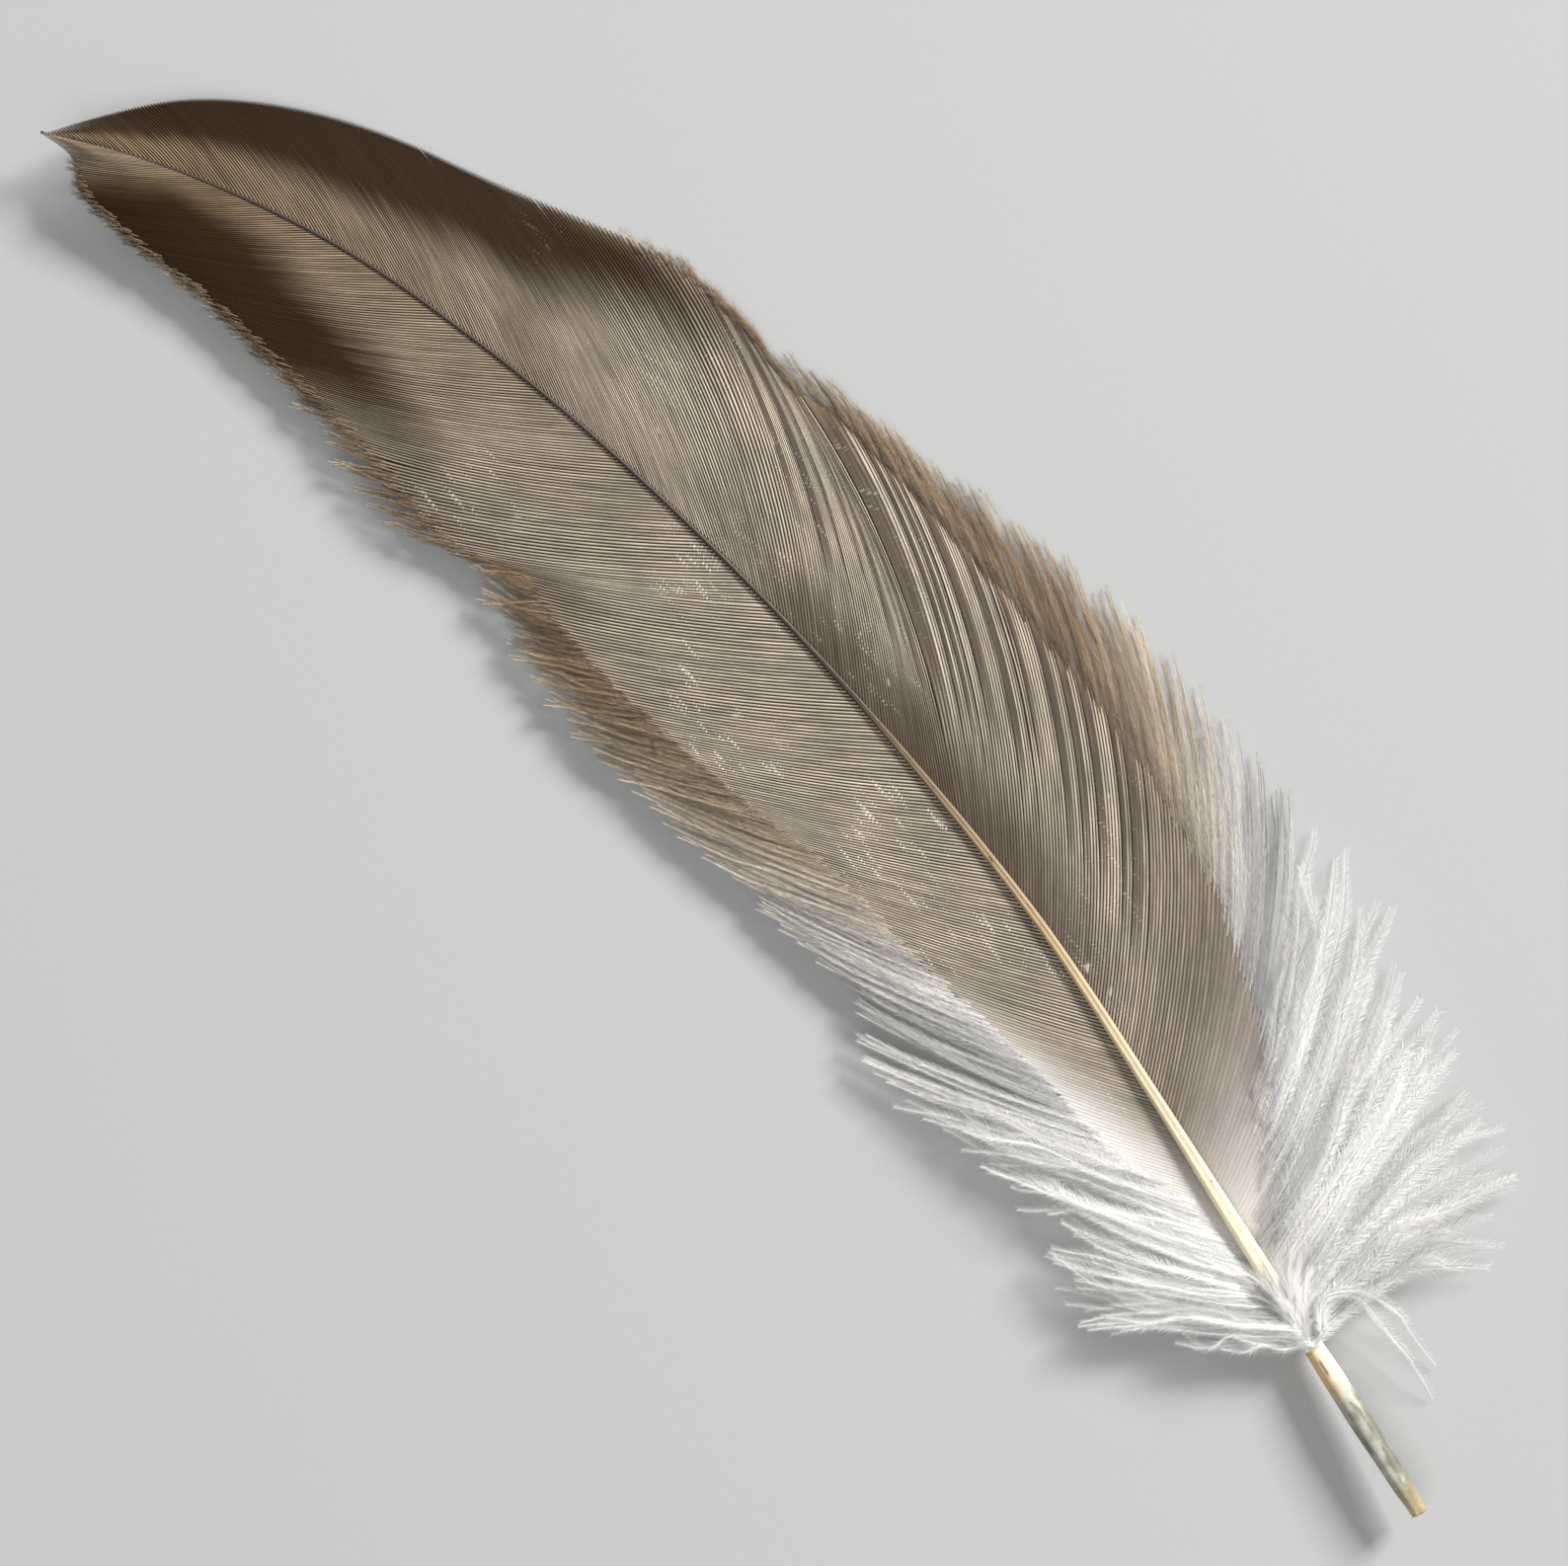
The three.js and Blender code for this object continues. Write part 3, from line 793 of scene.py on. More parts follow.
@dataclass(frozen=True)
class StrandFinish(Finish):
    """Loose barbs and down: white in the down, tan higher up, paler towards each barb's tip."""

    white: Colour = (0.80, 0.79, 0.77)
    cream: Colour = (0.70, 0.60, 0.46)
    tan: Colour = (0.36, 0.255, 0.155)
    brown: Colour = (0.105, 0.070, 0.043)
    start: Colour = (0.21, 0.155, 0.105)
    tip: Colour = (0.72, 0.63, 0.50)

    def colour(self, shade: Shade) -> Any:
        """By the barb's place on the shaft, then along the barb, then by its own tone.

        Args:
            shade: the material under construction.

        Returns:
            The socket with the colour.
        """
        place = shade.value("tan")
        low = shade.mix(shade.rescale(place, 0, 0.5), self.white, self.cream)
        body = shade.mix(shade.rescale(place, 0.4, 1), low, self.tan)
        body = shade.mix(shade.value("deep"), body, self.brown)
        free = shade.value("free")
        rooted = shade.mix(shade.math("MULTIPLY", shade.rescale(free, 0.3, 0), place), body, self.start)
        tipped = shade.mix(shade.math("MULTIPLY", shade.rescale(free, 0.55, 1), 0.55), rooted, self.tip)
        lighter = shade.mix(shade.math("MULTIPLY", shade.rescale(place, 0.3, 0), 0.8), tipped, self.white)
        level = shade.rescale(shade.value("tone"), 0, 1, 0.55, 1.42)
        return shade.mix(1.0, lighter, shade.grey(level), "MULTIPLY")


@dataclass(frozen=True)
class RachisFinish(Finish):
    """Horn of the shaft: ivory at the base, golden, then dark brown, with dark flecks in its groove."""

    ivory: Colour = (0.82, 0.74, 0.52)
    gold: Colour = (0.46, 0.33, 0.17)
    brown: Colour = (0.045, 0.028, 0.019)
    fleck: Colour = (0.045, 0.03, 0.018)

    def colour(self, shade: Shade) -> Any:
        """Colour along the shaft, with painted shade low on its sides, and flecks in the groove.

        Args:
            shade: the material under construction.

        Returns:
            The socket with the colour.
        """
        along = shade.value("along")
        upper = shade.mix(shade.rescale(along, 0.33, 0.50), self.gold, self.brown)
        horn = shade.mix(shade.rescale(along, 0.16, 0.34), self.ivory, upper)
        # Painted shade low on the shaft's sides, stronger further up.
        painted_flank_shade = shade.math("MULTIPLY", shade.value("flank"), shade.rescale(along, 0.08, 0.2, 0.25, 0.9))
        side = shade.mix(painted_flank_shade, horn, self.brown)
        specks = shade.noise(shade.place((420, 1500, 900), 0.22), 1.0, 3.0)
        fleck = shade.math("MULTIPLY", shade.rescale(specks, 0.61, 0.66), shade.value("groove"))
        return shade.mix(fleck, side, self.fleck)


@dataclass(frozen=True)
class CalamusFinish(Finish):
    """Horn of the butt: grey-olive and clouded, ivory where the down starts, ochre at the blunt end."""

    olive: Colour = (0.165, 0.16, 0.11)
    cloud: Colour = (0.56, 0.55, 0.46)
    ivory: Colour = (0.86, 0.80, 0.60)
    amber: Colour = (0.62, 0.44, 0.20)
    ochre: Colour = (0.42, 0.33, 0.18)
    slit: Colour = (0.03, 0.02, 0.012)

    def colour(self, shade: Shade) -> Any:
        """Clouded horn with a pale core, half ivory and half amber at the down, dark in its slit.

        Args:
            shade: the material under construction.

        Returns:
            The socket with the colour.
        """
        clouds = shade.noise(shade.place((300, 640, 500), 0.22), 1.0, 5.0)
        core = shade.math("MULTIPLY", shade.value("core"), shade.rescale(clouds, 0.38, 0.5, 0.1, 0.75))
        cloudy = shade.math("ADD", shade.rescale(clouds, 0.44, 0.64, 0, 0.5), core)
        horn = shade.mix(shade.math("MINIMUM", cloudy, 1.0), self.olive, self.cloud)
        along = shade.value("along")
        collar = shade.mix(shade.value("lee"), self.ivory, self.amber)
        upper = shade.mix(shade.rescale(along, 0.066, 0.080), horn, collar)
        blunt = shade.mix(shade.rescale(along, 0.022, 0.004), upper, self.ochre)
        return shade.mix(shade.value("slit"), blunt, self.slit)


@dataclass(frozen=True)
class PlainFinish(Finish):
    """A finish of one mottled colour."""

    tint: Colour = (0.8, 0.8, 0.8)

    def colour(self, shade: Shade) -> Any:
        """The one colour."""
        return paint(self.tint)


# ---- Vanes -------------------------------------------------------------------------------------


@dataclass
class Vane:
    """One vane: the field of barbs on one side of the shaft."""

    side: Side
    line: ShaftLine
    guides: list[Guide]
    edge_height: float
    bend_reach: float = 0.55
    root_height: float = 0.7
    root_share: float = 0.55
    crown: float = 0.8
    edge_bow: float = 0.8
    pitch: float = 0.49

    def read(self, roots: Array, column: str) -> Array:
        """Read one column of the guides at the given roots."""
        values = [getattr(guide, column) for guide in self.guides]
        return smooth([guide.root for guide in self.guides], values, roots)

    def rise(self, roots: Array, shares: Array) -> Array:
        """Height of the vane's middle above the floor in mm.

        Args:
            roots: where the barbs leave the shaft, in mm along it.
            shares: how far along the barb each point is.

        Returns:
            The heights in mm.
        """
        root_height = np.minimum(self.root_height, self.root_share * self.line.height(roots))
        at_shaft = root_height + self.line.bow(roots)
        at_edge = self.edge_height + 0.25 + self.line.bow(roots) * self.edge_bow
        return at_shaft + (at_edge - at_shaft) * shares + self.crown * np.sin(np.pi * shares)

    def routes(self, roots: Array, shares: Array, aside: Array | float = -0.1) -> Array:
        """Routes of barbs in mm from the blunt end.

        Args:
            roots: where each barb leaves the shaft, in mm along it.
            shares: how far along the barb each point is, a row for each barb.
            aside: how far outside the shaft's edge the barb starts, in mm.

        Returns:
            An array of barbs by points by 3.
        """
        sign = self.side.value
        start = self.line.plan(roots) + self.line.across(roots) * (
            sign * (self.line.width(roots) / 2 + aside))[:, None]
        tip = np.stack([self.read(roots, "x"), self.read(roots, "y")], -1)
        bend = sign * np.radians(self.read(roots, "bend"))
        chord = tip - start
        cos, sin = np.cos(bend), np.sin(bend)
        knee = start + self.bend_reach * np.stack(
            [chord[:, 0] * cos - chord[:, 1] * sin, chord[:, 0] * sin + chord[:, 1] * cos], -1)
        t = shares[..., None]
        plan = (start[:, None] * (1 - t) ** 2 + knee[:, None] * (2 * t * (1 - t)) + tip[:, None] * t ** 2)
        height = self.rise(roots[:, None], shares)
        return np.concatenate([plan, height[..., None]], -1)


@dataclass(frozen=True)
class Split:
    """A place where two neighbouring barbs have come apart.

    root is in mm along the shaft, gap is how far they stand apart in mm, and start, widest
    and end are the parts of the barb where the gap begins, is widest and has closed again. A
    gap that ends beyond 1 is open at the margin.
    """

    root: float
    gap: float
    start: float
    widest: float = 1.0
    end: float = 2.0


@dataclass
class BarbSheet:
    """A section of vane: its hooked barbs, each one a swept strip.

    Between slats_from and slats_to along the shaft the barbs lie in bands, each a little over
    the next, like slats. split_spread is how far in mm along the shaft a split pushes its
    neighbours, ripple is the barbs' unevenness in mm, and gap_limits holds the distance
    between barbs in mm.
    """

    name: str
    vane: Vane
    first: float
    last: float
    node: str
    seed: int
    points: int = 32
    slat_width: tuple[float, float] = (1.2, 4.4)
    slat_step: float = 0.0
    slat_gather: float = 0.0
    slats_from: float = 50.0
    slats_to: float = 100.0
    ridge: float = 0.32
    sharp_from: float = math.radians(70)
    split_spread: float = 1.6
    ripple: float = 0.012
    gap_limits: tuple[float, float] = (0.05, 1.2)
    splits: tuple[Split, ...] = ()

    def slats(self, roots: Array, rng: np.random.Generator) -> tuple[Array, Array, Array]:
        """Split the barbs into slats.

        Args:
            roots: where the barbs leave the shaft.
            rng: the seeded source of random numbers.

        Returns:
            Each barb's place in its slat from -1 to 1, its slat's tone, and its distance in
            barbs from its slat's middle.
        """
        edges = [self.first]
        while edges[-1] < self.last:
            edges.append(edges[-1] + rng.uniform(*self.slat_width))
        edges = np.array(edges)
        cell = np.clip(np.searchsorted(edges, roots, side="right") - 1, 0, len(edges) - 2)
        middle = (edges[cell] + edges[cell + 1]) / 2
        half = (edges[cell + 1] - edges[cell]) / 2
        tones = rng.uniform(0, 1, len(edges))
        return (roots - middle) / half, tones[cell], (roots - middle) / self.vane.pitch

    def part(self, routes: Array, roots: Array, shares: Array, step: Array) -> None:
        """Open the gap of every split, in place.

        Args:
            routes: the barbs' points in mm.
            roots: where the barbs leave the shaft, in mm along it.
            shares: how far along the barb each point is.
            step: from each point to the next barb, in mm.
        """
        away = step / np.maximum(np.linalg.norm(step, axis=-1, keepdims=True), 0.01)
        for split in self.splits:
            distance = (roots - split.root)[:, None]
            push = np.sign(distance) * np.exp(-np.abs(distance) / self.split_spread) * split.gap / 2
            opening = ramp(shares, split.start, split.widest) * (1 - ramp(shares, split.widest, split.end))
            routes += away * (push * opening)[..., None]

    def build(self, tree: Tree, finish: bpy.types.Material) -> bpy.types.Object:
        """Grow the barbs.

        Args:
            tree: the tree that sweeps lines into barbs.
            finish: the barbs' material.

        Returns:
            The finished piece.
        """
        rng = np.random.default_rng(self.seed)
        vane = self.vane
        roots = np.arange(self.first, self.last, vane.pitch)
        count = len(roots)
        even_from = ramp(roots, 120, 160) if vane.side is Side.NARROW else ramp(roots, 102, 116)
        uneven = 0.02 * (1 - even_from)
        hooked = np.minimum(vane.read(roots, "hooked") + uneven * rng.uniform(-1, 1, count), 1.0)
        line = np.linspace(0, 1, self.points)[None]
        shares = line * hooked[:, None]
        tucked = -0.1 - 0.1 * ramp(roots, 100, 125)
        routes = vane.routes(roots, shares, tucked)
        step = vane.routes(roots + vane.pitch, shares, tucked) - routes
        place, slat_tone, offset = self.slats(roots, rng)
        strength = (ramp(roots, self.slats_from, self.slats_from + 8)
                    * (1 - ramp(roots, self.slats_to - 10, self.slats_to)) * (self.slat_step > 0))[:, None]
        loosen = ramp(shares - 0.25 * slat_tone[:, None], 0.02, 0.3) * strength
        routes += step * (-offset[:, None] * self.slat_gather * loosen)[..., None]
        self.part(routes, roots, shares, step)
        routes[..., 2] += self.slat_step * place[:, None] * loosen
        routes[..., 2] += self.ripple * wander(rng, count, self.points, 8)
        broken = 0.016 * rng.normal(0, 1, (count, 1)) + 0.05 * wander(rng, 1, count, 10).T
        direction = np.gradient(routes, axis=1)
        direction /= np.linalg.norm(direction, axis=-1, keepdims=True)
        gap = np.abs(step[..., 0] * direction[..., 1] - step[..., 1] * direction[..., 0])
        gap = np.clip(gap, *self.gap_limits) * (1 - 0.75 * ramp(line, 0.975, 1.0))
        everywhere = roots[:, None] + 0 * shares
        travel = np.diff(routes, axis=1, prepend=routes[:, :1])
        values = {
            "spacing": gap * MM,
            "tone": 0.45 * slat_tone[:, None] * loosen + 0.55 * rng.uniform(0.2, 0.9, (count, 1)),
            "dark": self.chocolate_and_shade(everywhere, shares - broken),
            "pale": self.paleness_and_tip_sheen(everywhere, shares),
            "white": self.whiteness(everywhere, line),
            "tan": self.tan(everywhere, shares, hooked),
            "flat": np.maximum(ramp((place - 0.9 * (slat_tone - 0.5))[:, None], 0.15, 0.4) * loosen,
                               self.plainness_and_shade(everywhere, shares)),
            # Where the near-white streaks of wear and painted glints may show.
            "worn_and_glint": ramp(everywhere, 40, 60) * (1 - ramp(everywhere, 124, 140)),
            "scored": np.full(shares.shape, 1.0 if vane.side is Side.NARROW else 0.35),
            "reach": np.cumsum(np.linalg.norm(travel, axis=-1), axis=1),
            "root": everywhere,
        }
        piece = strand_object(self.name, vane.line.world(routes), values)
        tree.grow(piece, Finish=finish, Ridge=self.ridge)
        piece.data.set_sharp_from_angle(angle=self.sharp_from)
        return piece

    def whiteness(self, roots: Array, line: Array) -> Array:
        """How white the barbs are: near the down, on the narrow side further up at the margin.

        Args:
            roots: where the barbs leave the shaft, in mm along it.
            line: how far along its hooked part each point is.

        Returns:
            Shares from 0 to 1.
        """
        if self.vane.side is Side.NARROW:
            return 1 - ramp(roots - 14 * line, 28, 50)
        return 1 - ramp(roots + 3 * line, 29, 49)

    def chocolate_and_shade(self, roots: Array, shares: Array) -> Array:
        """How dark the barbs are: chocolate towards the upper margins, and a little painted shade beside
        the shaft.

        Args:
            roots: where the barbs leave the shaft, in mm along it.
            shares: how far along the barb each point is.

        Returns:
            Shares from 0 to 1.
        """
        if self.vane.side is Side.NARROW:
            upper = (0.4 * ramp(roots, 92, 112) + 0.6 * ramp(roots, 128, 146)) * (1 - ramp(roots, 180, 191))
            border = 0.64 - 0.22 * ramp(roots, 124, 156) - 0.12 * ramp(roots, 158, 172)
            return upper * ramp(shares - border, -0.22, 0.1)
        border = 0.78 - 0.28 * ramp(roots, 100, 150)
        margin = (ramp(roots, 98, 116) * (1 - 0.25 * ramp(roots, 182, 198))
                  * ramp(shares - border, -0.2, 0.12))
        # Painted shade on the broad vane beside the shaft, given the chocolate colour.
        beside = (1 - ramp(shares, 0.03, 0.32)) * ramp(roots, 56, 84) * (1 - ramp(roots, 104, 128))
        return np.maximum(margin, 0.5 * beside)

    def paleness_and_tip_sheen(self, roots: Array, shares: Array) -> Array:
        """How pale the barbs are: near the down, and, as painted sheen, a little at the very end of the
        narrow vane.

        Args:
            roots: where the barbs leave the shaft, in mm along it.
            shares: how far along the barb each point is.

        Returns:
            Shares from 0 to 1.
        """
        if self.vane.side is Side.NARROW:
            near_down = 1 - ramp(roots - 14 * shares, 36, 76)
            # The paler very end of the narrow vane is painted sheen.
            return np.maximum(near_down, 0.4 * ramp(roots + 6 * shares, 184, 194))
        return 0.7 * (1 - ramp(roots, 34, 60))

    def plainness_and_shade(self, roots: Array, shares: Array) -> Array:
        """How far the ridges sink into the web: near the down, and beside the shaft on the broad side,
        where the plain colour in place of the sheen on the ridges is part of the painted shade there.

        Args:
            roots: where the barbs leave the shaft, in mm along it.
            shares: how far along the barb each point is.

        Returns:
            Shares from 0 to 1.
        """
        if self.vane.side is Side.NARROW:
            return 0.7 * (1 - ramp(roots, 40, 60))
        # Beside the shaft on the broad side the plain colour of sunk ridges is part of the painted shade.
        beside = 0.75 * (1 - ramp(shares, 0.03, 0.3)) * ramp(roots, 52, 68) * (1 - ramp(roots, 104, 124))
        return np.maximum(0.85 * (1 - ramp(roots, 42, 62)), beside)

    def tan(self, roots: Array, shares: Array, hooked: Array) -> Array:
        """How tan the barbs are: near the loose fringe in the feather's lower part.

        Args:
            roots: where the barbs leave the shaft, in mm along it.
            shares: how far along the barb each point is.
            hooked: the hooked part of each barb.

        Returns:
            Shares from 0 to 1.
        """
        edge = ramp(shares / np.maximum(hooked[:, None], 0.05), 0.9, 1.0)
        return 0.5 * edge * (1 - ramp(roots, 105, 130)) * ramp(roots, 46, 62)


class Strands:
    """What plumes, the afterfeather and the base's fluff have in common, with sizes in mm."""

    name: str
    seed: int
    strand_radius: float
    barbule_radius: float
    barbule_length: float
    barbule_step: float
    barbule_lean: float

    def grow(self, tree: Tree, finish: bpy.types.Material, routes: Array,
             values: dict[str, Array]) -> bpy.types.Object:
        """Grow strands with barbules along routes.

        Args:
            tree: the tree that makes lines into plumed strands.
            finish: the strands' material.
            routes: the strands' points in metres, a row for each strand.
            values: numbers to keep on the points, by name.

        Returns:
            The finished piece.
        """
        piece = strand_object(self.name, routes, values)
        return tree.grow(
            piece, Finish=finish, Seed=self.seed, Strand_radius=self.strand_radius * MM,
            Barbule_radius=self.barbule_radius * MM, Barbule_length=self.barbule_length * MM,
            Barbule_step=self.barbule_step * MM, Barbule_lean=self.barbule_lean,
        )


@dataclass
class Plume(Strands):
    """A section of loose barbs: fringe or down, each barb with barbules on both sides."""

    name: str
    vane: Vane
    first: float
    last: float
    seed: int
    pitch: float = 0.49
    points: int = 26
    from_hooked: bool = True
    overlap: float = 0.03
    fray: float = 0.35
    frizz: float = 0.3
    loft: float = 0.5
    lengths: tuple[float, float] = (0.95, 1.03)
    clump: float = 0.75
    clump_width: float = 2.2
    strand_radius: float = 0.05
    barbule_radius: float = 0.022
    barbule_length: float = 1.7
    barbule_step: float = 0.19
    barbule_lean: float = 0.26
    tan_from: float = 36
    tan_to: float = 62
    deep: float = 0.0
    cover: bool = False

    def gathered(self, roots: Array, rng: np.random.Generator) -> tuple[Array, Array]:
        """Gather the barbs into tufts.

        Args:
            roots: where the barbs leave the shaft.
            rng: the seeded source of random numbers.

        Returns:
            Where each barb's tip would leave the shaft if its tuft closed up, and the tuft's tone.
        """
        edges = [self.first]
        while edges[-1] < self.last:
            edges.append(edges[-1] + self.clump_width * rng.uniform(0.6, 1.5))
        edges = np.array(edges)
        cell = np.clip(np.searchsorted(edges, roots, side="right") - 1, 0, len(edges) - 2)
        middle = (edges[cell] + edges[cell + 1]) / 2
        return roots + (middle - roots) * self.clump, rng.uniform(0, 1, len(edges))[cell]

    def build(self, tree: Tree, finish: bpy.types.Material) -> bpy.types.Object:
        """Grow the loose barbs.

        Args:
            tree: the tree that makes lines into plumed strands.
            finish: the strands' material.

        Returns:
            The finished piece.
        """
        rng = np.random.default_rng(self.seed)
        vane = self.vane
        roots = np.arange(self.first, self.last, self.pitch)
        count = len(roots)
        starts = vane.read(roots, "hooked") - self.overlap * rng.uniform(0.3, 1.7, count)
        starts = np.maximum(starts, 0) if self.from_hooked else np.zeros(count)
        pulled, tuft_tone = self.gathered(roots, rng)
        shortest, longest = self.lengths
        extra = (longest - shortest) * rng.uniform(0, 1, count) ** 0.6
        ends = (shortest + extra) * (0.97 + 0.04 * tuft_tone)
        line = np.linspace(0, 1, self.points)[None]
        shares = starts[:, None] + (ends - starts)[:, None] * line
        loose = ramp(line, 0.0, 0.9)[..., None]
        routes = vane.routes(roots, shares) * (1 - loose) + vane.routes(pulled, shares) * loose
        free = np.maximum(ends - starts, 0.02)[:, None]
        across = np.stack([-np.gradient(routes[..., 1], axis=1), np.gradient(routes[..., 0], axis=1)], -1)
        across /= np.maximum(np.linalg.norm(across, axis=-1, keepdims=True), 1e-6)
        sway = self.fray * rng.normal(0, 1, (count, 1)) * line ** 1.5
        curl = self.frizz * wander(rng, count, self.points, 4) * line
        routes[..., :2] += across * ((sway + curl) * np.minimum(free * 4, 1))[..., None]
        lift = self.loft * (rng.uniform(0, 1, (count, 1)) + 0.4 * wander(rng, count, self.points, 3))
        routes[..., 2] += lift * np.minimum(line * 4, 1) * (1 - 0.5 * line)
        if self.cover:
            self.lay_over_shaft(routes, roots, line)
        routes[..., 2] = np.maximum(routes[..., 2], 0.08)
        everywhere = roots[:, None] + 0 * shares
        values = {
            "girth": 1 - 0.75 * line + 0 * shares,
            "fluff": np.minimum(line * 4 + 0.5, 1) * (1 - 0.5 * ramp(line, 0.7, 1.0)) + 0 * shares,
            "free": line + 0 * shares,
            "tone": 0.5 * tuft_tone[:, None] + 0.5 * rng.uniform(0, 1, (count, 1)) + 0 * shares,
            "tan": ramp(everywhere, self.tan_from, self.tan_to),
            "deep": self.deep * ramp(everywhere, 112, 145),
        }
        return self.grow(tree, finish, vane.line.world(routes), values)

    def lay_over_shaft(self, routes: Array, roots: Array, line: Array) -> None:
        """Start the lowest barbs on top of the shaft, so that their down hides it, in place.

        Args:
            routes: the barbs' points in mm.
            roots: where the barbs leave the shaft, in mm along it.
            line: how far along the barb each point is, from 0 to 1.
        """
        shaft = self.vane.line
        low = 1 - ramp(roots, 21.5, 28.5)
        inwards = -self.vane.side.value * shaft.across(roots) * (shaft.width(roots) / 2 * low)[:, None]
        near = 1 - ramp(line, 0.0, 0.25)
        routes[..., :2] += inwards[:, None] * near[..., None]
        routes[..., 2] += (shaft.height(roots) - 0.3)[:, None] * low[:, None] * near


@dataclass
class Afterfeather(Strands):
    """The two long filaments and the short tuft that curl back from the top of the calamus."""

    name: str
    line: ShaftLine
    seed: int
    routes: tuple = (
        ((20.4, -5.9), (22.4, -8.5), (19.6, -11.9), (15.9, -12.8), (13.1, -12.3), (9.0, -11.8)),
        ((20.3, -5.8), (22.2, -8.3), (19.4, -11.1), (15.1, -10.7), (9.4, -9.9), (6.8, -9.2)),
        ((20.1, -5.6), (20.2, -6.4), (20.0, -7.3), (19.7, -8.1), (19.5, -8.6), (19.4, -8.9)),
    )
    start_height: float = 4.3
    end_height: float = 0.6
    points: int = 40
    strand_radius: float = 0.04
    barbule_radius: float = 0.018
    barbule_length: float = 1.9
    barbule_step: float = 0.17
    barbule_lean: float = 1.5

    def build(self, tree: Tree, finish: bpy.types.Material) -> bpy.types.Object:
        """Grow the filaments, each with a shorter one at its side.

        Args:
            tree: the tree that makes lines into plumed strands.
            finish: the strands' material.

        Returns:
            The finished piece.
        """
        rng = np.random.default_rng(self.seed)
        line = np.linspace(0, 1, self.points)
        grown = []
        for route in self.routes:
            knots = np.array(route, float)
            stations = np.linspace(0, 1, len(knots))
            for shift, reach in ((0.0, 1.0), (0.35, 0.72)):
                plan = np.stack([smooth(stations, knots[:, k], line * reach) for k in (0, 1)], -1)
                plan += shift * wander(rng, 2, self.points, 4).T
                height = self.start_height + (self.end_height - self.start_height) * (line * reach) ** 1.5
                grown.append(np.concatenate([plan, height[:, None]], -1))
        routes = np.array(grown)
        count = len(routes)
        values = {
            "girth": np.tile(1 - 0.6 * line, (count, 1)),
            "fluff": np.tile(0.8 - 0.4 * line, (count, 1)),
            "free": np.tile(line, (count, 1)),
            "tone": np.full((count, self.points), 0.45),
            "tan": np.zeros((count, self.points)),
        }
        return self.grow(tree, finish, self.line.world(routes), values)


@dataclass
class BaseFluff(Strands):
    """The thick fluff on top of the shaft where the down starts."""

    name: str
    line: ShaftLine
    seed: int
    count: int = 90
    first: float = 19.9
    last: float = 25.5
    reach: tuple[float, float] = (3.0, 8.0)
    spread: float = 0.55
    points: int = 14
    strand_radius: float = 0.04
    barbule_radius: float = 0.018
    barbule_length: float = 1.3
    barbule_step: float = 0.16
    barbule_lean: float = 0.8

    def build(self, tree: Tree, finish: bpy.types.Material) -> bpy.types.Object:
        """Grow the fluff: short barbs that run up the shaft and out over both of its sides.

        Args:
            tree: the tree that makes lines into plumed strands.
            finish: the strands' material.

        Returns:
            The finished piece.
        """
        rng = np.random.default_rng(self.seed)
        roots = self.first + (self.last - self.first) * rng.uniform(0, 1, self.count) ** 1.4
        line = np.linspace(0, 1, self.points)
        turn = self.spread * np.clip(rng.normal(0, 1, (self.count, 1)), -1.6, 1.6) * (0.5 + 0.6 * line)
        reach = rng.uniform(*self.reach, (self.count, 1)) * line
        along, across = self.line.along(roots)[:, None], self.line.across(roots)[:, None]
        aside = rng.uniform(-0.4, 0.4, (self.count, 1)) * self.line.width(roots)[:, None]
        plan = (self.line.plan(roots)[:, None] + along * (reach * np.cos(turn))[..., None]
                + across * (aside + reach * np.sin(turn))[..., None])
        top = self.line.bow(roots) + self.line.height(roots)
        height = top[:, None] + 0.05 + 0.5 * np.sin(np.pi * line) - 1.2 * np.abs(np.sin(turn)) * line
        routes = np.concatenate([plan, height[..., None]], -1)
        values = {
            "girth": np.tile(1 - 0.7 * line, (self.count, 1)),
            "fluff": np.tile(1 - 0.5 * line, (self.count, 1)),
            "free": np.tile(line, (self.count, 1)),
            "tone": rng.uniform(0.3, 0.8, (self.count, 1)) + 0 * reach,
            "tan": np.full((self.count, self.points), 0.04),
        }
        return self.grow(tree, finish, self.line.world(routes), values)


# ---- Horn parts --------------------------------------------------------------------------------


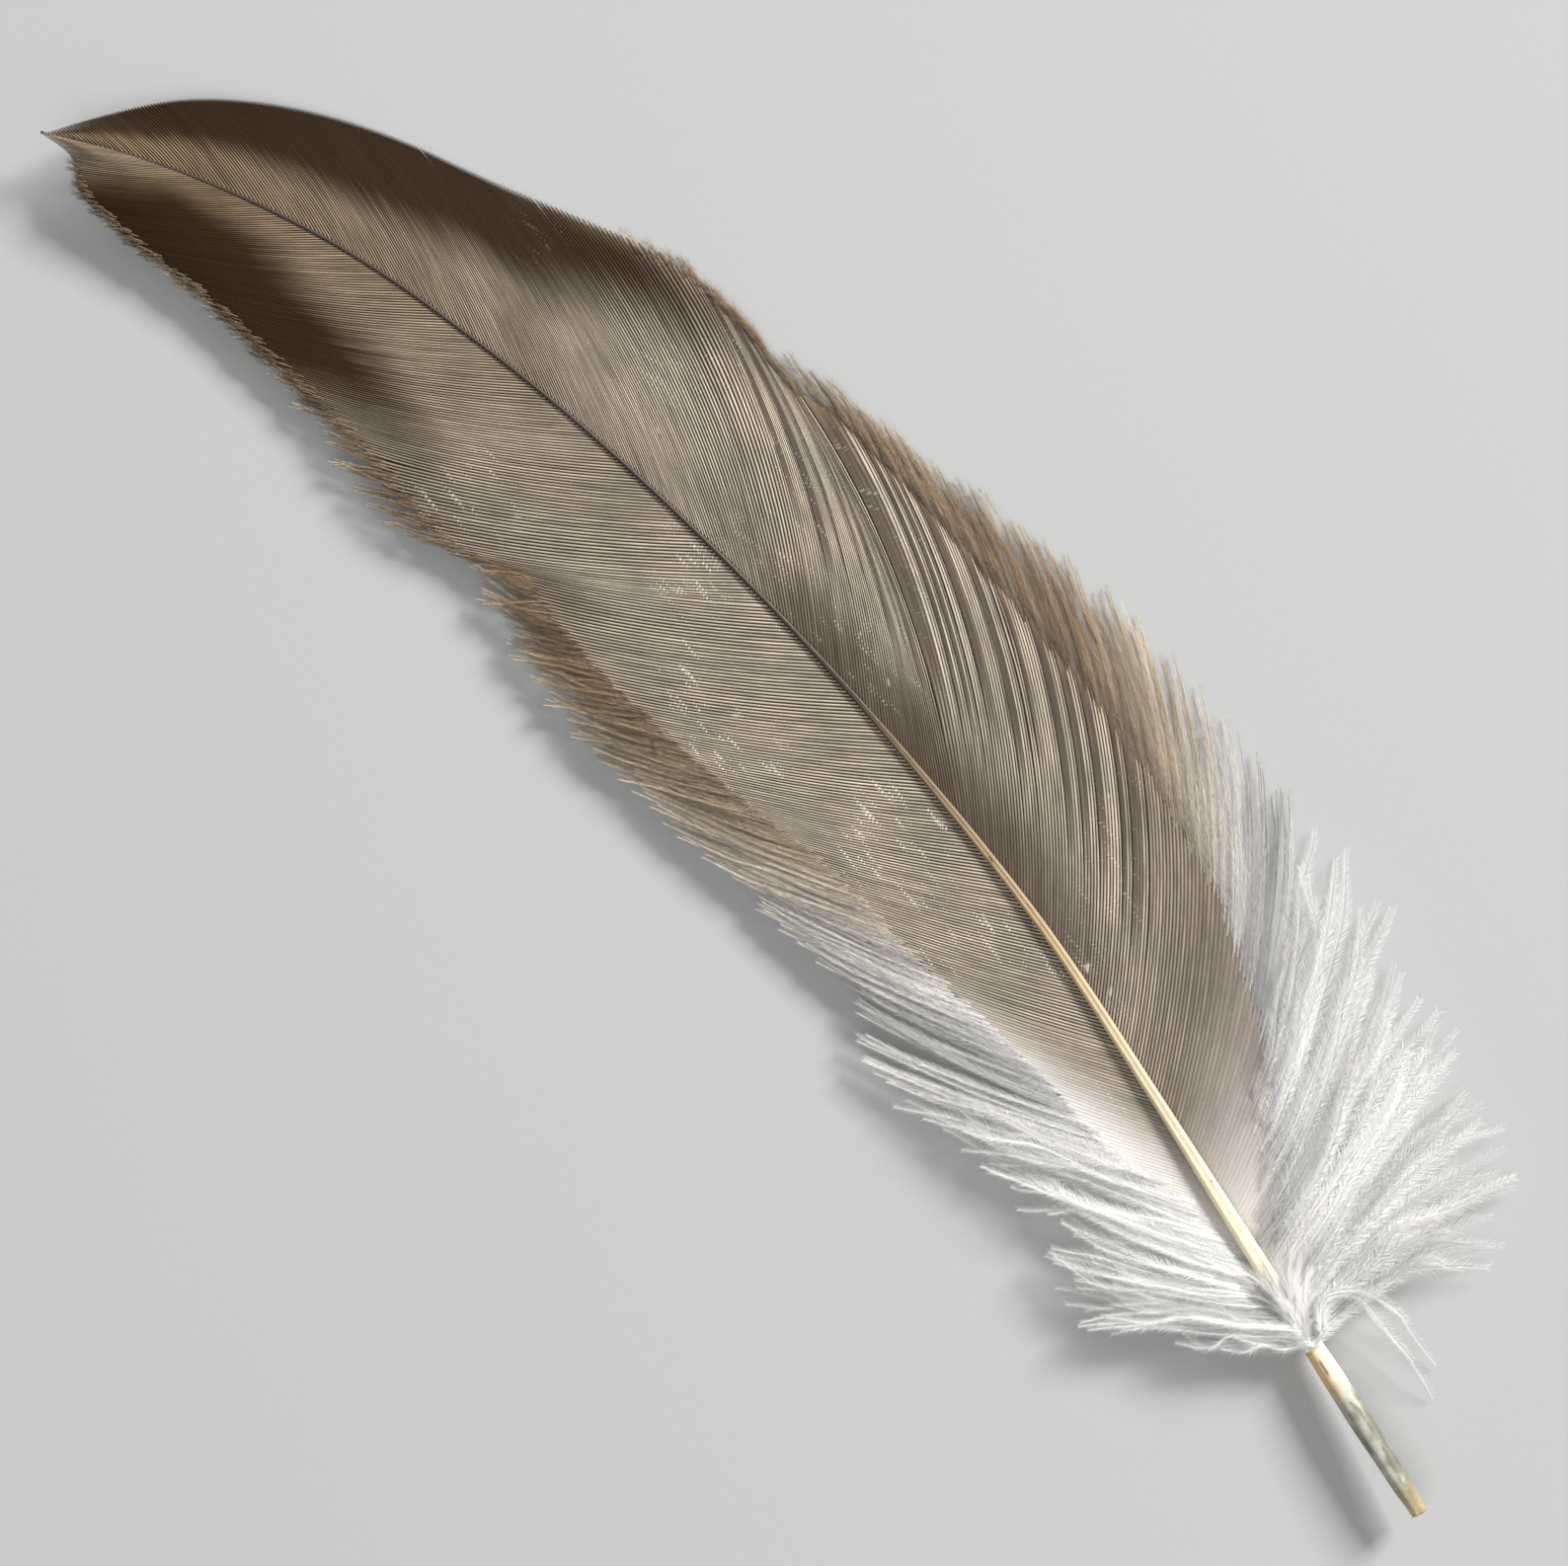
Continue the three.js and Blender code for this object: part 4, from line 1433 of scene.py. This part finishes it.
@dataclass
class HornPart:
    """A lofted part of the shaft: rings round its middle line."""

    line: ShaftLine
    sides: int = 24
    squareness: float = 0.9
    groove_angle: float = 0.28

    def ring(self, s: Array, half_width: Array, half_height: Array, dent: Array) -> Array:
        """Rings of points round the line.

        Args:
            s: places of the rings along the shaft in mm.
            half_width: each ring's half width in mm.
            half_height: each ring's half height in mm.
            dent: how deep the groove along the top is, in mm.

        Returns:
            An array of rings by corners by 3, in mm from the blunt end.
        """
        angle = np.linspace(0, 2 * np.pi, self.sides, endpoint=False)
        centre, across = self.line.plan(s), self.line.across(s)
        out = np.sign(np.cos(angle)) * np.abs(np.cos(angle)) ** self.squareness
        up = np.sign(np.sin(angle)) * np.abs(np.sin(angle)) ** self.squareness
        groove = np.exp(-((angle - np.pi / 2) / self.groove_angle) ** 2)
        plan = centre[:, None] + across[:, None] * (half_width[:, None] * out)[..., None]
        middle = self.line.bow(s) + self.line.height(s) / 2
        height = middle[:, None] + half_height[:, None] * up - dent[:, None] * groove
        return np.concatenate([plan, height[..., None]], -1)

    def skin(self, name: str, rings: Array, values: dict[str, Array], closed: bool) -> bpy.types.Object:
        """Skin over rings: closed on itself, or with a point in the middle of each end.

        Args:
            name: the piece's name.
            rings: rings by corners by 3, in mm.
            values: numbers to keep on the points, by name.
            closed: whether the last ring joins the first.

        Returns:
            The new object.
        """
        rows, sides = rings.shape[:2]
        faces = []
        for row in range(rows if closed else rows - 1):
            for corner in range(sides):
                beside, after = (corner + 1) % sides, (row + 1) % rows
                faces.append([row * sides + corner, row * sides + beside,
                              after * sides + beside, after * sides + corner])
        points = rings.reshape(-1, 3)
        if not closed:
            points = np.vstack([points, rings[0].mean(0), rings[-1].mean(0)])
            flat = {key: np.ravel(value) for key, value in values.items()}
            values = {key: np.append(row, [row[0], row[-1]]) for key, row in flat.items()}
            faces += [[rows * sides, (c + 1) % sides, c] for c in range(sides)]
            last = (rows - 1) * sides
            faces += [[rows * sides + 1, last + c, last + (c + 1) % sides] for c in range(sides)]
        piece = mesh_object(name, self.line.world(points), faces, values)
        smooth_shade(piece)
        return piece


@dataclass
class Rachis(HornPart):
    """The shaft beyond the calamus: a horn cortex round a foam pith."""

    start: float = 19.71
    wall: float = 0.18
    pith_end: float = 104.0
    groove_depth: float = 0.22
    bore_dent: float = 0.1

    def cortex(self) -> bpy.types.Object:
        """The horn skin, solid beyond the pith, with the shallow groove on its upper face.

        Returns:
            The finished piece.
        """
        s = np.concatenate([np.linspace(self.start, 60, 90), np.linspace(60.5, self.line.length, 160)])
        half_width, half_height = self.line.width(s) / 2, self.line.height(s) / 2
        dent = self.groove_depth * ramp(s, 20, 30) * (1 - ramp(s, 75, 120))
        outer = self.ring(s, half_width, half_height, dent)
        bore_s = np.linspace(self.pith_end, self.start, 60)
        bore = self.ring(bore_s, self.line.width(bore_s) / 2 - self.wall,
                         self.line.height(bore_s) / 2 - self.wall, np.full(len(bore_s), self.bore_dent))
        angle = np.linspace(0, 2 * np.pi, self.sides, endpoint=False)
        all_s = np.concatenate([bore_s, s])
        values = {
            "along": np.repeat(all_s / self.line.length, self.sides),
            # Where the shade painted low on the shaft's sides falls.
            "flank": np.tile(ramp(-np.sin(angle), -0.55, 0.3), len(all_s)),
            "groove": np.tile(np.exp(-((angle - np.pi / 2) / 0.35) ** 2), len(all_s)),
        }
        return self.skin("rachis_cortex_horn", np.concatenate([bore, outer]), values, False)

    def pith(self) -> bpy.types.Object:
        """The white foam inside the cortex.

        Returns:
            The finished piece.
        """
        s = np.linspace(20.0, self.pith_end - 1, 50)
        shrink = self.wall + 0.05
        rings = self.ring(s, self.line.width(s) / 2 - shrink, self.line.height(s) / 2 - shrink,
                          np.full(len(s), self.bore_dent))
        return self.skin("rachis_pith_foam", rings, {}, False)


@dataclass
class Calamus(HornPart):
    """The butt of the quill: a hollow horn tube with a rough blunt end and dry caps inside."""

    end: float = 19.7
    wall: float = 0.3
    roughness: float = 0.07
    cap_count: int = 5
    cap_first: float = 3.2
    cap_pitch: float = 2.9
    cap_depth: float = 1.1
    cap_wall: float = 0.12
    cap_gap: float = 0.1
    sides: int = 48
    rough_rings: int = 6
    least_roughness: tuple[float, float, float] = (-0.02, -0.2, -0.2)
    slit_turn: float = 1.35
    seed: int = 5

    def tube(self) -> bpy.types.Object:
        """The horn tube, open at its blunt end; its slit is a dark mark and not an opening.

        Returns:
            The finished piece.
        """
        rng = np.random.default_rng(self.seed)
        s = np.concatenate([np.linspace(0, 2, 10), np.linspace(2.3, self.end, 60)])
        uneven = 1 + 0.02 * np.interp(s, np.linspace(0, 20, 12), rng.uniform(-1, 1, 12))
        half_width, half_height = self.line.width(s) / 2 * uneven, self.line.height(s) / 2 * uneven
        none = np.zeros(len(s))
        outer = self.ring(s, half_width, half_height, 0.06 * ramp(s, 13, 17))
        inner = self.ring(s, half_width - self.wall, half_height - self.wall, none)[::-1]
        rough = self.rough_rings
        fade = np.linspace(1, 0.1, rough)[:, None, None]
        ragged = self.roughness * rng.normal(0, 1, (rough, self.sides, 3)) * fade
        outer[:rough] += np.maximum(ragged, [self.least_roughness])
        inner[-rough:] += np.maximum(ragged[::-1], [self.least_roughness])
        rings = np.concatenate([outer, inner])
        angle = np.linspace(0, 2 * np.pi, self.sides, endpoint=False)
        both = np.concatenate([s, s[::-1]])
        on_slit = np.exp(-((angle - self.slit_turn) / 0.09) ** 4)
        in_slit = ramp(both, 16.6, 17.0) * (1 - ramp(both, 18.3, 18.7))
        values = {
            "along": np.repeat(both / self.line.length, self.sides),
            "core": np.tile(np.exp(-((angle - 1.75) / 0.42) ** 2), len(both)),
            "lee": np.tile(ramp(np.cos(angle), -0.1, 0.3), len(both)),
            "slit": np.outer(in_slit, on_slit),
        }
        return self.skin("calamus_horn", rings, values, True)

    def caps(self) -> list[bpy.types.Object]:
        """The dry cups inside the tube.

        Returns:
            The finished pieces, from the blunt end up.
        """
        pieces = []
        for number in range(self.cap_count):
            s0 = self.cap_first + number * self.cap_pitch
            share = np.linspace(0, 1, 8)
            size = np.sqrt(np.maximum(1 - share ** 2.2, 0.02))
            s = s0 + self.cap_depth * share
            half = (self.line.width(s) / 2 - self.wall - self.cap_gap) * size
            none = np.zeros(len(share))
            outer = self.ring(s, half, half, none)
            half_inside = np.maximum(half - self.cap_wall, 0.04)
            inner = self.ring(s - self.cap_wall * (share > 0), half_inside, half_inside, none)
            rings = np.concatenate([inner[::-1], outer])
            pieces.append(self.skin(f"pulp_cap_membrane_{number + 1}", rings, {}, False))
        return pieces


# ---- Studio ------------------------------------------------------------------------------------


@dataclass
class Studio:
    """Floor, lights and camera."""

    line: ShaftLine
    view_centre: tuple[float, float] = (97.95, -6.67)
    view_width: float = 160.2
    roll: float = math.radians(-134.96)
    lens: float = 100.0
    sensor: float = 36.0
    floor_size: float = 8.0
    floor_tint: Colour = (0.44, 0.44, 0.435)
    key_place: tuple[float, float, float] = (-0.1, -1.7, 0.9)
    key_size: float = 0.52
    key_power: float = 66.0
    fill_place: tuple[float, float, float] = (-0.2, 0.4, 0.9)
    fill_size: float = 0.8
    fill_power: float = 4.0
    sky_tint: Colour = (0.95, 0.97, 1.0)
    sky_strength: float = 0.30

    def floor(self, finish: bpy.types.Material) -> bpy.types.Object:
        """The plain floor that the feather lies on.

        Args:
            finish: the floor's material.

        Returns:
            The floor.
        """
        half = self.floor_size / 2
        corners = np.array([[-half, -half, 0], [half, -half, 0], [half, half, 0], [-half, half, 0]])
        floor = mesh_object("floor", corners, [[0, 1, 2, 3]])
        floor.data.materials.append(finish)
        return floor

    def camera(self) -> bpy.types.Object:
        """Camera straight above, turned so that the tip points to the upper left.

        Returns:
            The camera.
        """
        data = bpy.data.cameras.new("camera")
        data.lens, data.sensor_width = self.lens, self.sensor
        data.clip_start = 0.01
        camera = bpy.data.objects.new("camera", data)
        x, y, _ = self.line.world(np.array([*self.view_centre, 0.0]))
        height = self.view_width * MM * self.lens / self.sensor
        camera.location = (x, y, height)
        camera.rotation_euler = (0, 0, self.roll)
        bpy.context.scene.collection.objects.link(camera)
        bpy.context.scene.camera = camera
        return camera

    def lamp(self, name: str, place: tuple[float, float, float], size: float, power: float) -> None:
        """Soft square lamp at a place in metres, aimed at the feather.

        Args:
            name: the lamp's name.
            place: where it stands, in metres.
            size: its side in metres.
            power: its power in watts.
        """
        data = bpy.data.lights.new(name, "AREA")
        data.size, data.energy = size, power
        lamp = bpy.data.objects.new(name, data)
        lamp.location = place
        lamp.rotation_euler = (-lamp.location).to_track_quat("-Z", "Y").to_euler()
        bpy.context.scene.collection.objects.link(lamp)

    def lights(self) -> None:
        """Key lamp low on the broad vane's side, a weak one from above and an even sky."""
        self.lamp("key", self.key_place, self.key_size, self.key_power)
        self.lamp("fill", self.fill_place, self.fill_size, self.fill_power)
        world = bpy.data.worlds.new("sky")
        world.use_nodes = True
        sky = world.node_tree.nodes["Background"]
        sky.inputs[0].default_value = paint(self.sky_tint)
        sky.inputs[1].default_value = self.sky_strength
        bpy.context.scene.world = world
        bpy.context.scene.view_settings.view_transform = "Standard"


# ---- The feather -------------------------------------------------------------------------------


class Slot(Enum):
    """The record's material slots."""

    CALAMUS = "calamus_horn"
    PULP = "dry_pulp"
    RACHIS = "rachis_horn"
    PITH = "pith"
    HOOKED = "hooked_barbs"
    LOOSE = "loose_barbs"
    DOWN = "down"


def finishes(mottle: bpy.types.NodeTree) -> dict[Slot, bpy.types.Material]:
    """Make every finish once.

    Args:
        mottle: the shader group that breaks the colours up.

    Returns:
        The materials, by the slot that each fills.
    """
    makers = {
        Slot.CALAMUS: CalamusFinish("clouded_horn", roughness=0.34, coat=0.3, mottle=0.35,
                                    coarse=700, fine=3000),
        Slot.PULP: PlainFinish("dry_membrane", tint=(0.8, 0.76, 0.66), roughness=0.8, coarse=900),
        Slot.RACHIS: RachisFinish("shaft_horn", roughness=0.5, mottle=0.25, coarse=400),
        Slot.PITH: PlainFinish("pith_foam", tint=(0.9, 0.87, 0.8), roughness=0.9, coarse=900),
        Slot.HOOKED: HookedBarbFinish("hooked_barb", roughness=0.62, gloss=0.05, coarse=90, fine=2600),
        Slot.LOOSE: StrandFinish("loose_barb", roughness=0.55, gloss=0.15, coarse=160),
        Slot.DOWN: StrandFinish("down_strand", roughness=0.8, gloss=0.1, mottle=0.06, coarse=160,
                                white=(0.96, 0.95, 0.93)),
    }
    return {slot: maker.build(mottle) for slot, maker in makers.items()}


@dataclass
class Feather:
    """The whole feather: its pieces, in the order in which they are built."""

    line: ShaftLine
    material: dict[Slot, bpy.types.Material]

    def __post_init__(self) -> None:
        """Make the two vanes, and the two trees that grow their barbs."""
        self.narrow = Vane(Side.NARROW, self.line, NARROW_GUIDES, edge_height=1.5)
        self.broad = Vane(Side.BROAD, self.line, BROAD_GUIDES, edge_height=0.05)
        self.swept = swept_barbs_tree()
        self.plumed = plumed_barbs_tree()

    def fit(self, piece: bpy.types.Object, slot: Slot, *nodes: str) -> None:
        """Dress a piece, tie it to the feather's body and hide the CAD nodes that it stands for.

        Args:
            piece: the finished piece.
            slot: the record's material slot that it takes its finish from.
            nodes: the CAD nodes that it replaces, if any.
        """
        if not piece.data.materials:
            piece.data.materials.append(self.material[slot])
        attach(piece, "root")
        if nodes:
            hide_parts(*nodes)
        log.info("%s: %d faces", piece.name, len(piece.data.polygons))

    def hooked_vanes(self) -> None:
        """The hooked barbs of both vanes, in the sections between their splits."""
        narrow, broad = self.narrow, self.broad
        slats = {"slat_step": 0.14, "slat_gather": 0.04}
        low_splits = (
            Split(47, 0.5, 0.2), Split(60.5, 0.7, 0.25), Split(73, 0.6, 0.35), Split(91, 0.3, 0.5),
        )
        sheets = [
            BarbSheet("narrow_barbs_lower", narrow, 30, 56, "narrow_vane_lower", 11, ridge=0.2,
                      splits=low_splits),
            BarbSheet("narrow_barbs_middle", narrow, 56.2, 113.6, "narrow_vane_middle", 12,
                      splits=low_splits),
            BarbSheet("narrow_barbs_upper", narrow, 113.7, 202, "narrow_vane_upper", 13,
                      splits=(Split(128, 0.4, 0.6), Split(147, 0.3, 0.7))),
            BarbSheet("broad_barbs_lower", broad, 30, 84.9, "broad_vane_lower", 14, ridge=0.24,
                      splits=(Split(71, 0.3, 0.5, 0.6, 0.75), Split(78, 0.3, 0.35, 0.45, 0.6)), **slats),
            BarbSheet("broad_barbs_middle", broad, 85.0, 106.9, "broad_vane_middle", 15, slats_from=60,
                      slats_to=118, splits=(Split(94, 0.55, 0.5, 0.6, 0.8),), **slats),
            BarbSheet("broad_barbs_upper", broad, 107.0, 202, "broad_vane_upper", 16,
                      splits=(Split(121, 0.2, 0.75), Split(139, 0.15, 0.8))),
        ]
        for sheet in sheets:
            self.fit(sheet.build(self.swept, self.material[Slot.HOOKED]), Slot.HOOKED, sheet.node)

    def fringes(self) -> None:
        """The loose barb ends along the margins."""
        narrow, broad = self.narrow, self.broad
        fringes = [
            (Plume("narrow_hairs_lower", narrow, 38.9, 56, 21, pitch=0.30, barbule_lean=0.4,
                   tan_from=40, tan_to=105), "narrow_fringe_lower"),
            (Plume("narrow_hairs_middle", narrow, 56.2, 113.6, 22, pitch=0.34, clump=0.85,
                   clump_width=1.8, fray=0.5, tan_from=40, tan_to=105), "narrow_fringe_middle"),
            (Plume("narrow_hairs_upper", narrow, 114.2, 188, 23, pitch=0.30, barbule_length=0.9,
                   overlap=0.06, clump=0.7, clump_width=1.7, lengths=(0.96, 1.05), fray=0.25,
                   deep=0.7), "narrow_fringe_upper"),
            (Plume("broad_hairs_lower", broad, 38.9, 112, 24, pitch=0.40, clump=0.45,
                   clump_width=1.5), "broad_fringe_lower"),
        ]
        for plume, node in fringes:
            self.fit(plume.build(self.plumed, self.material[Slot.LOOSE]), Slot.LOOSE, node)

    def down(self) -> None:
        """The tufts of down, the afterfeather, and the fluff over the shaft's base."""
        narrow, broad = self.narrow, self.broad
        finish = self.material[Slot.DOWN]
        loose_from = 30
        sizes = {"overlap": 0.08, "fray": 1.3, "frizz": 1.1, "loft": 1.7, "clump": 0.3,
                 "lengths": (0.40, 1.05), "barbule_radius": 0.020, "barbule_step": 0.17,
                 "strand_radius": 0.04, "barbule_lean": 0.85, "tan_from": 33, "tan_to": 70, "cover": True}
        tufts = [
            ("narrow_down_tuft_1", narrow, 20.2, 24.4, 0.12, 0.8, "narrow_down_1"),
            ("narrow_down_tuft_2", narrow, 24.4, 30.8, 0.18, 1.2, "narrow_down_2"),
            ("narrow_down_tuft_3", narrow, 30.8, 38.9, 0.26, 1.6, "narrow_down_3"),
            ("broad_down_tuft_1", broad, 20.0, 22.1, 0.07, 0.5, "broad_down_1"),
            ("broad_down_tuft_2", broad, 22.1, 26.4, 0.12, 0.8, "broad_down_2"),
            ("broad_down_tuft_3", broad, 26.4, 31.8, 0.18, 1.2, "broad_down_3"),
            ("broad_down_tuft_4", broad, 31.8, 38.9, 0.24, 1.6, "broad_down_4"),
        ]
        for seed, (name, vane, first, last, pitch, clump_width, node) in enumerate(tufts, start=31):
            plume = Plume(name, vane, first, last, seed, pitch=pitch, clump_width=clump_width,
                          from_hooked=first > loose_from, **sizes)
            self.fit(plume.build(self.plumed, finish), Slot.DOWN, node)
        curls = Afterfeather("afterfeather_plume", self.line, 41)
        self.fit(curls.build(self.plumed, finish), Slot.DOWN, "afterfeather")
        fluff = BaseFluff("base_fluff", self.line, 42)
        self.fit(fluff.build(self.plumed, finish), Slot.DOWN)

    def shaft(self) -> None:
        """The horn parts: cortex, pith, calamus and the caps inside it."""
        rachis = Rachis(self.line)
        self.fit(rachis.cortex(), Slot.RACHIS, "rachis_cortex")
        self.fit(rachis.pith(), Slot.PITH, "rachis_pith")
        calamus = Calamus(self.line)
        self.fit(calamus.tube(), Slot.CALAMUS, "calamus")
        for number, cap in enumerate(calamus.caps(), start=1):
            self.fit(cap, Slot.PULP, f"pulp_cap_{number}")


def main() -> None:
    """Build the studio and the feather, piece by piece."""
    logging.basicConfig(level=logging.INFO, format="%(message)s")
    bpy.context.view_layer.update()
    line = ShaftLine()
    mottle = mottle_group()
    material = finishes(mottle)
    studio = Studio(line)
    studio.camera()
    studio.lights()
    paper = PlainFinish("floor_paper", tint=studio.floor_tint, roughness=0.9, mottle=0.02, coarse=4,
                        fine=900, bump=0.05)
    studio.floor(paper.build(mottle))

    feather = Feather(line, material)
    feather.hooked_vanes()
    feather.fringes()
    feather.down()
    feather.shaft()


if __name__ == "__main__":
    main()
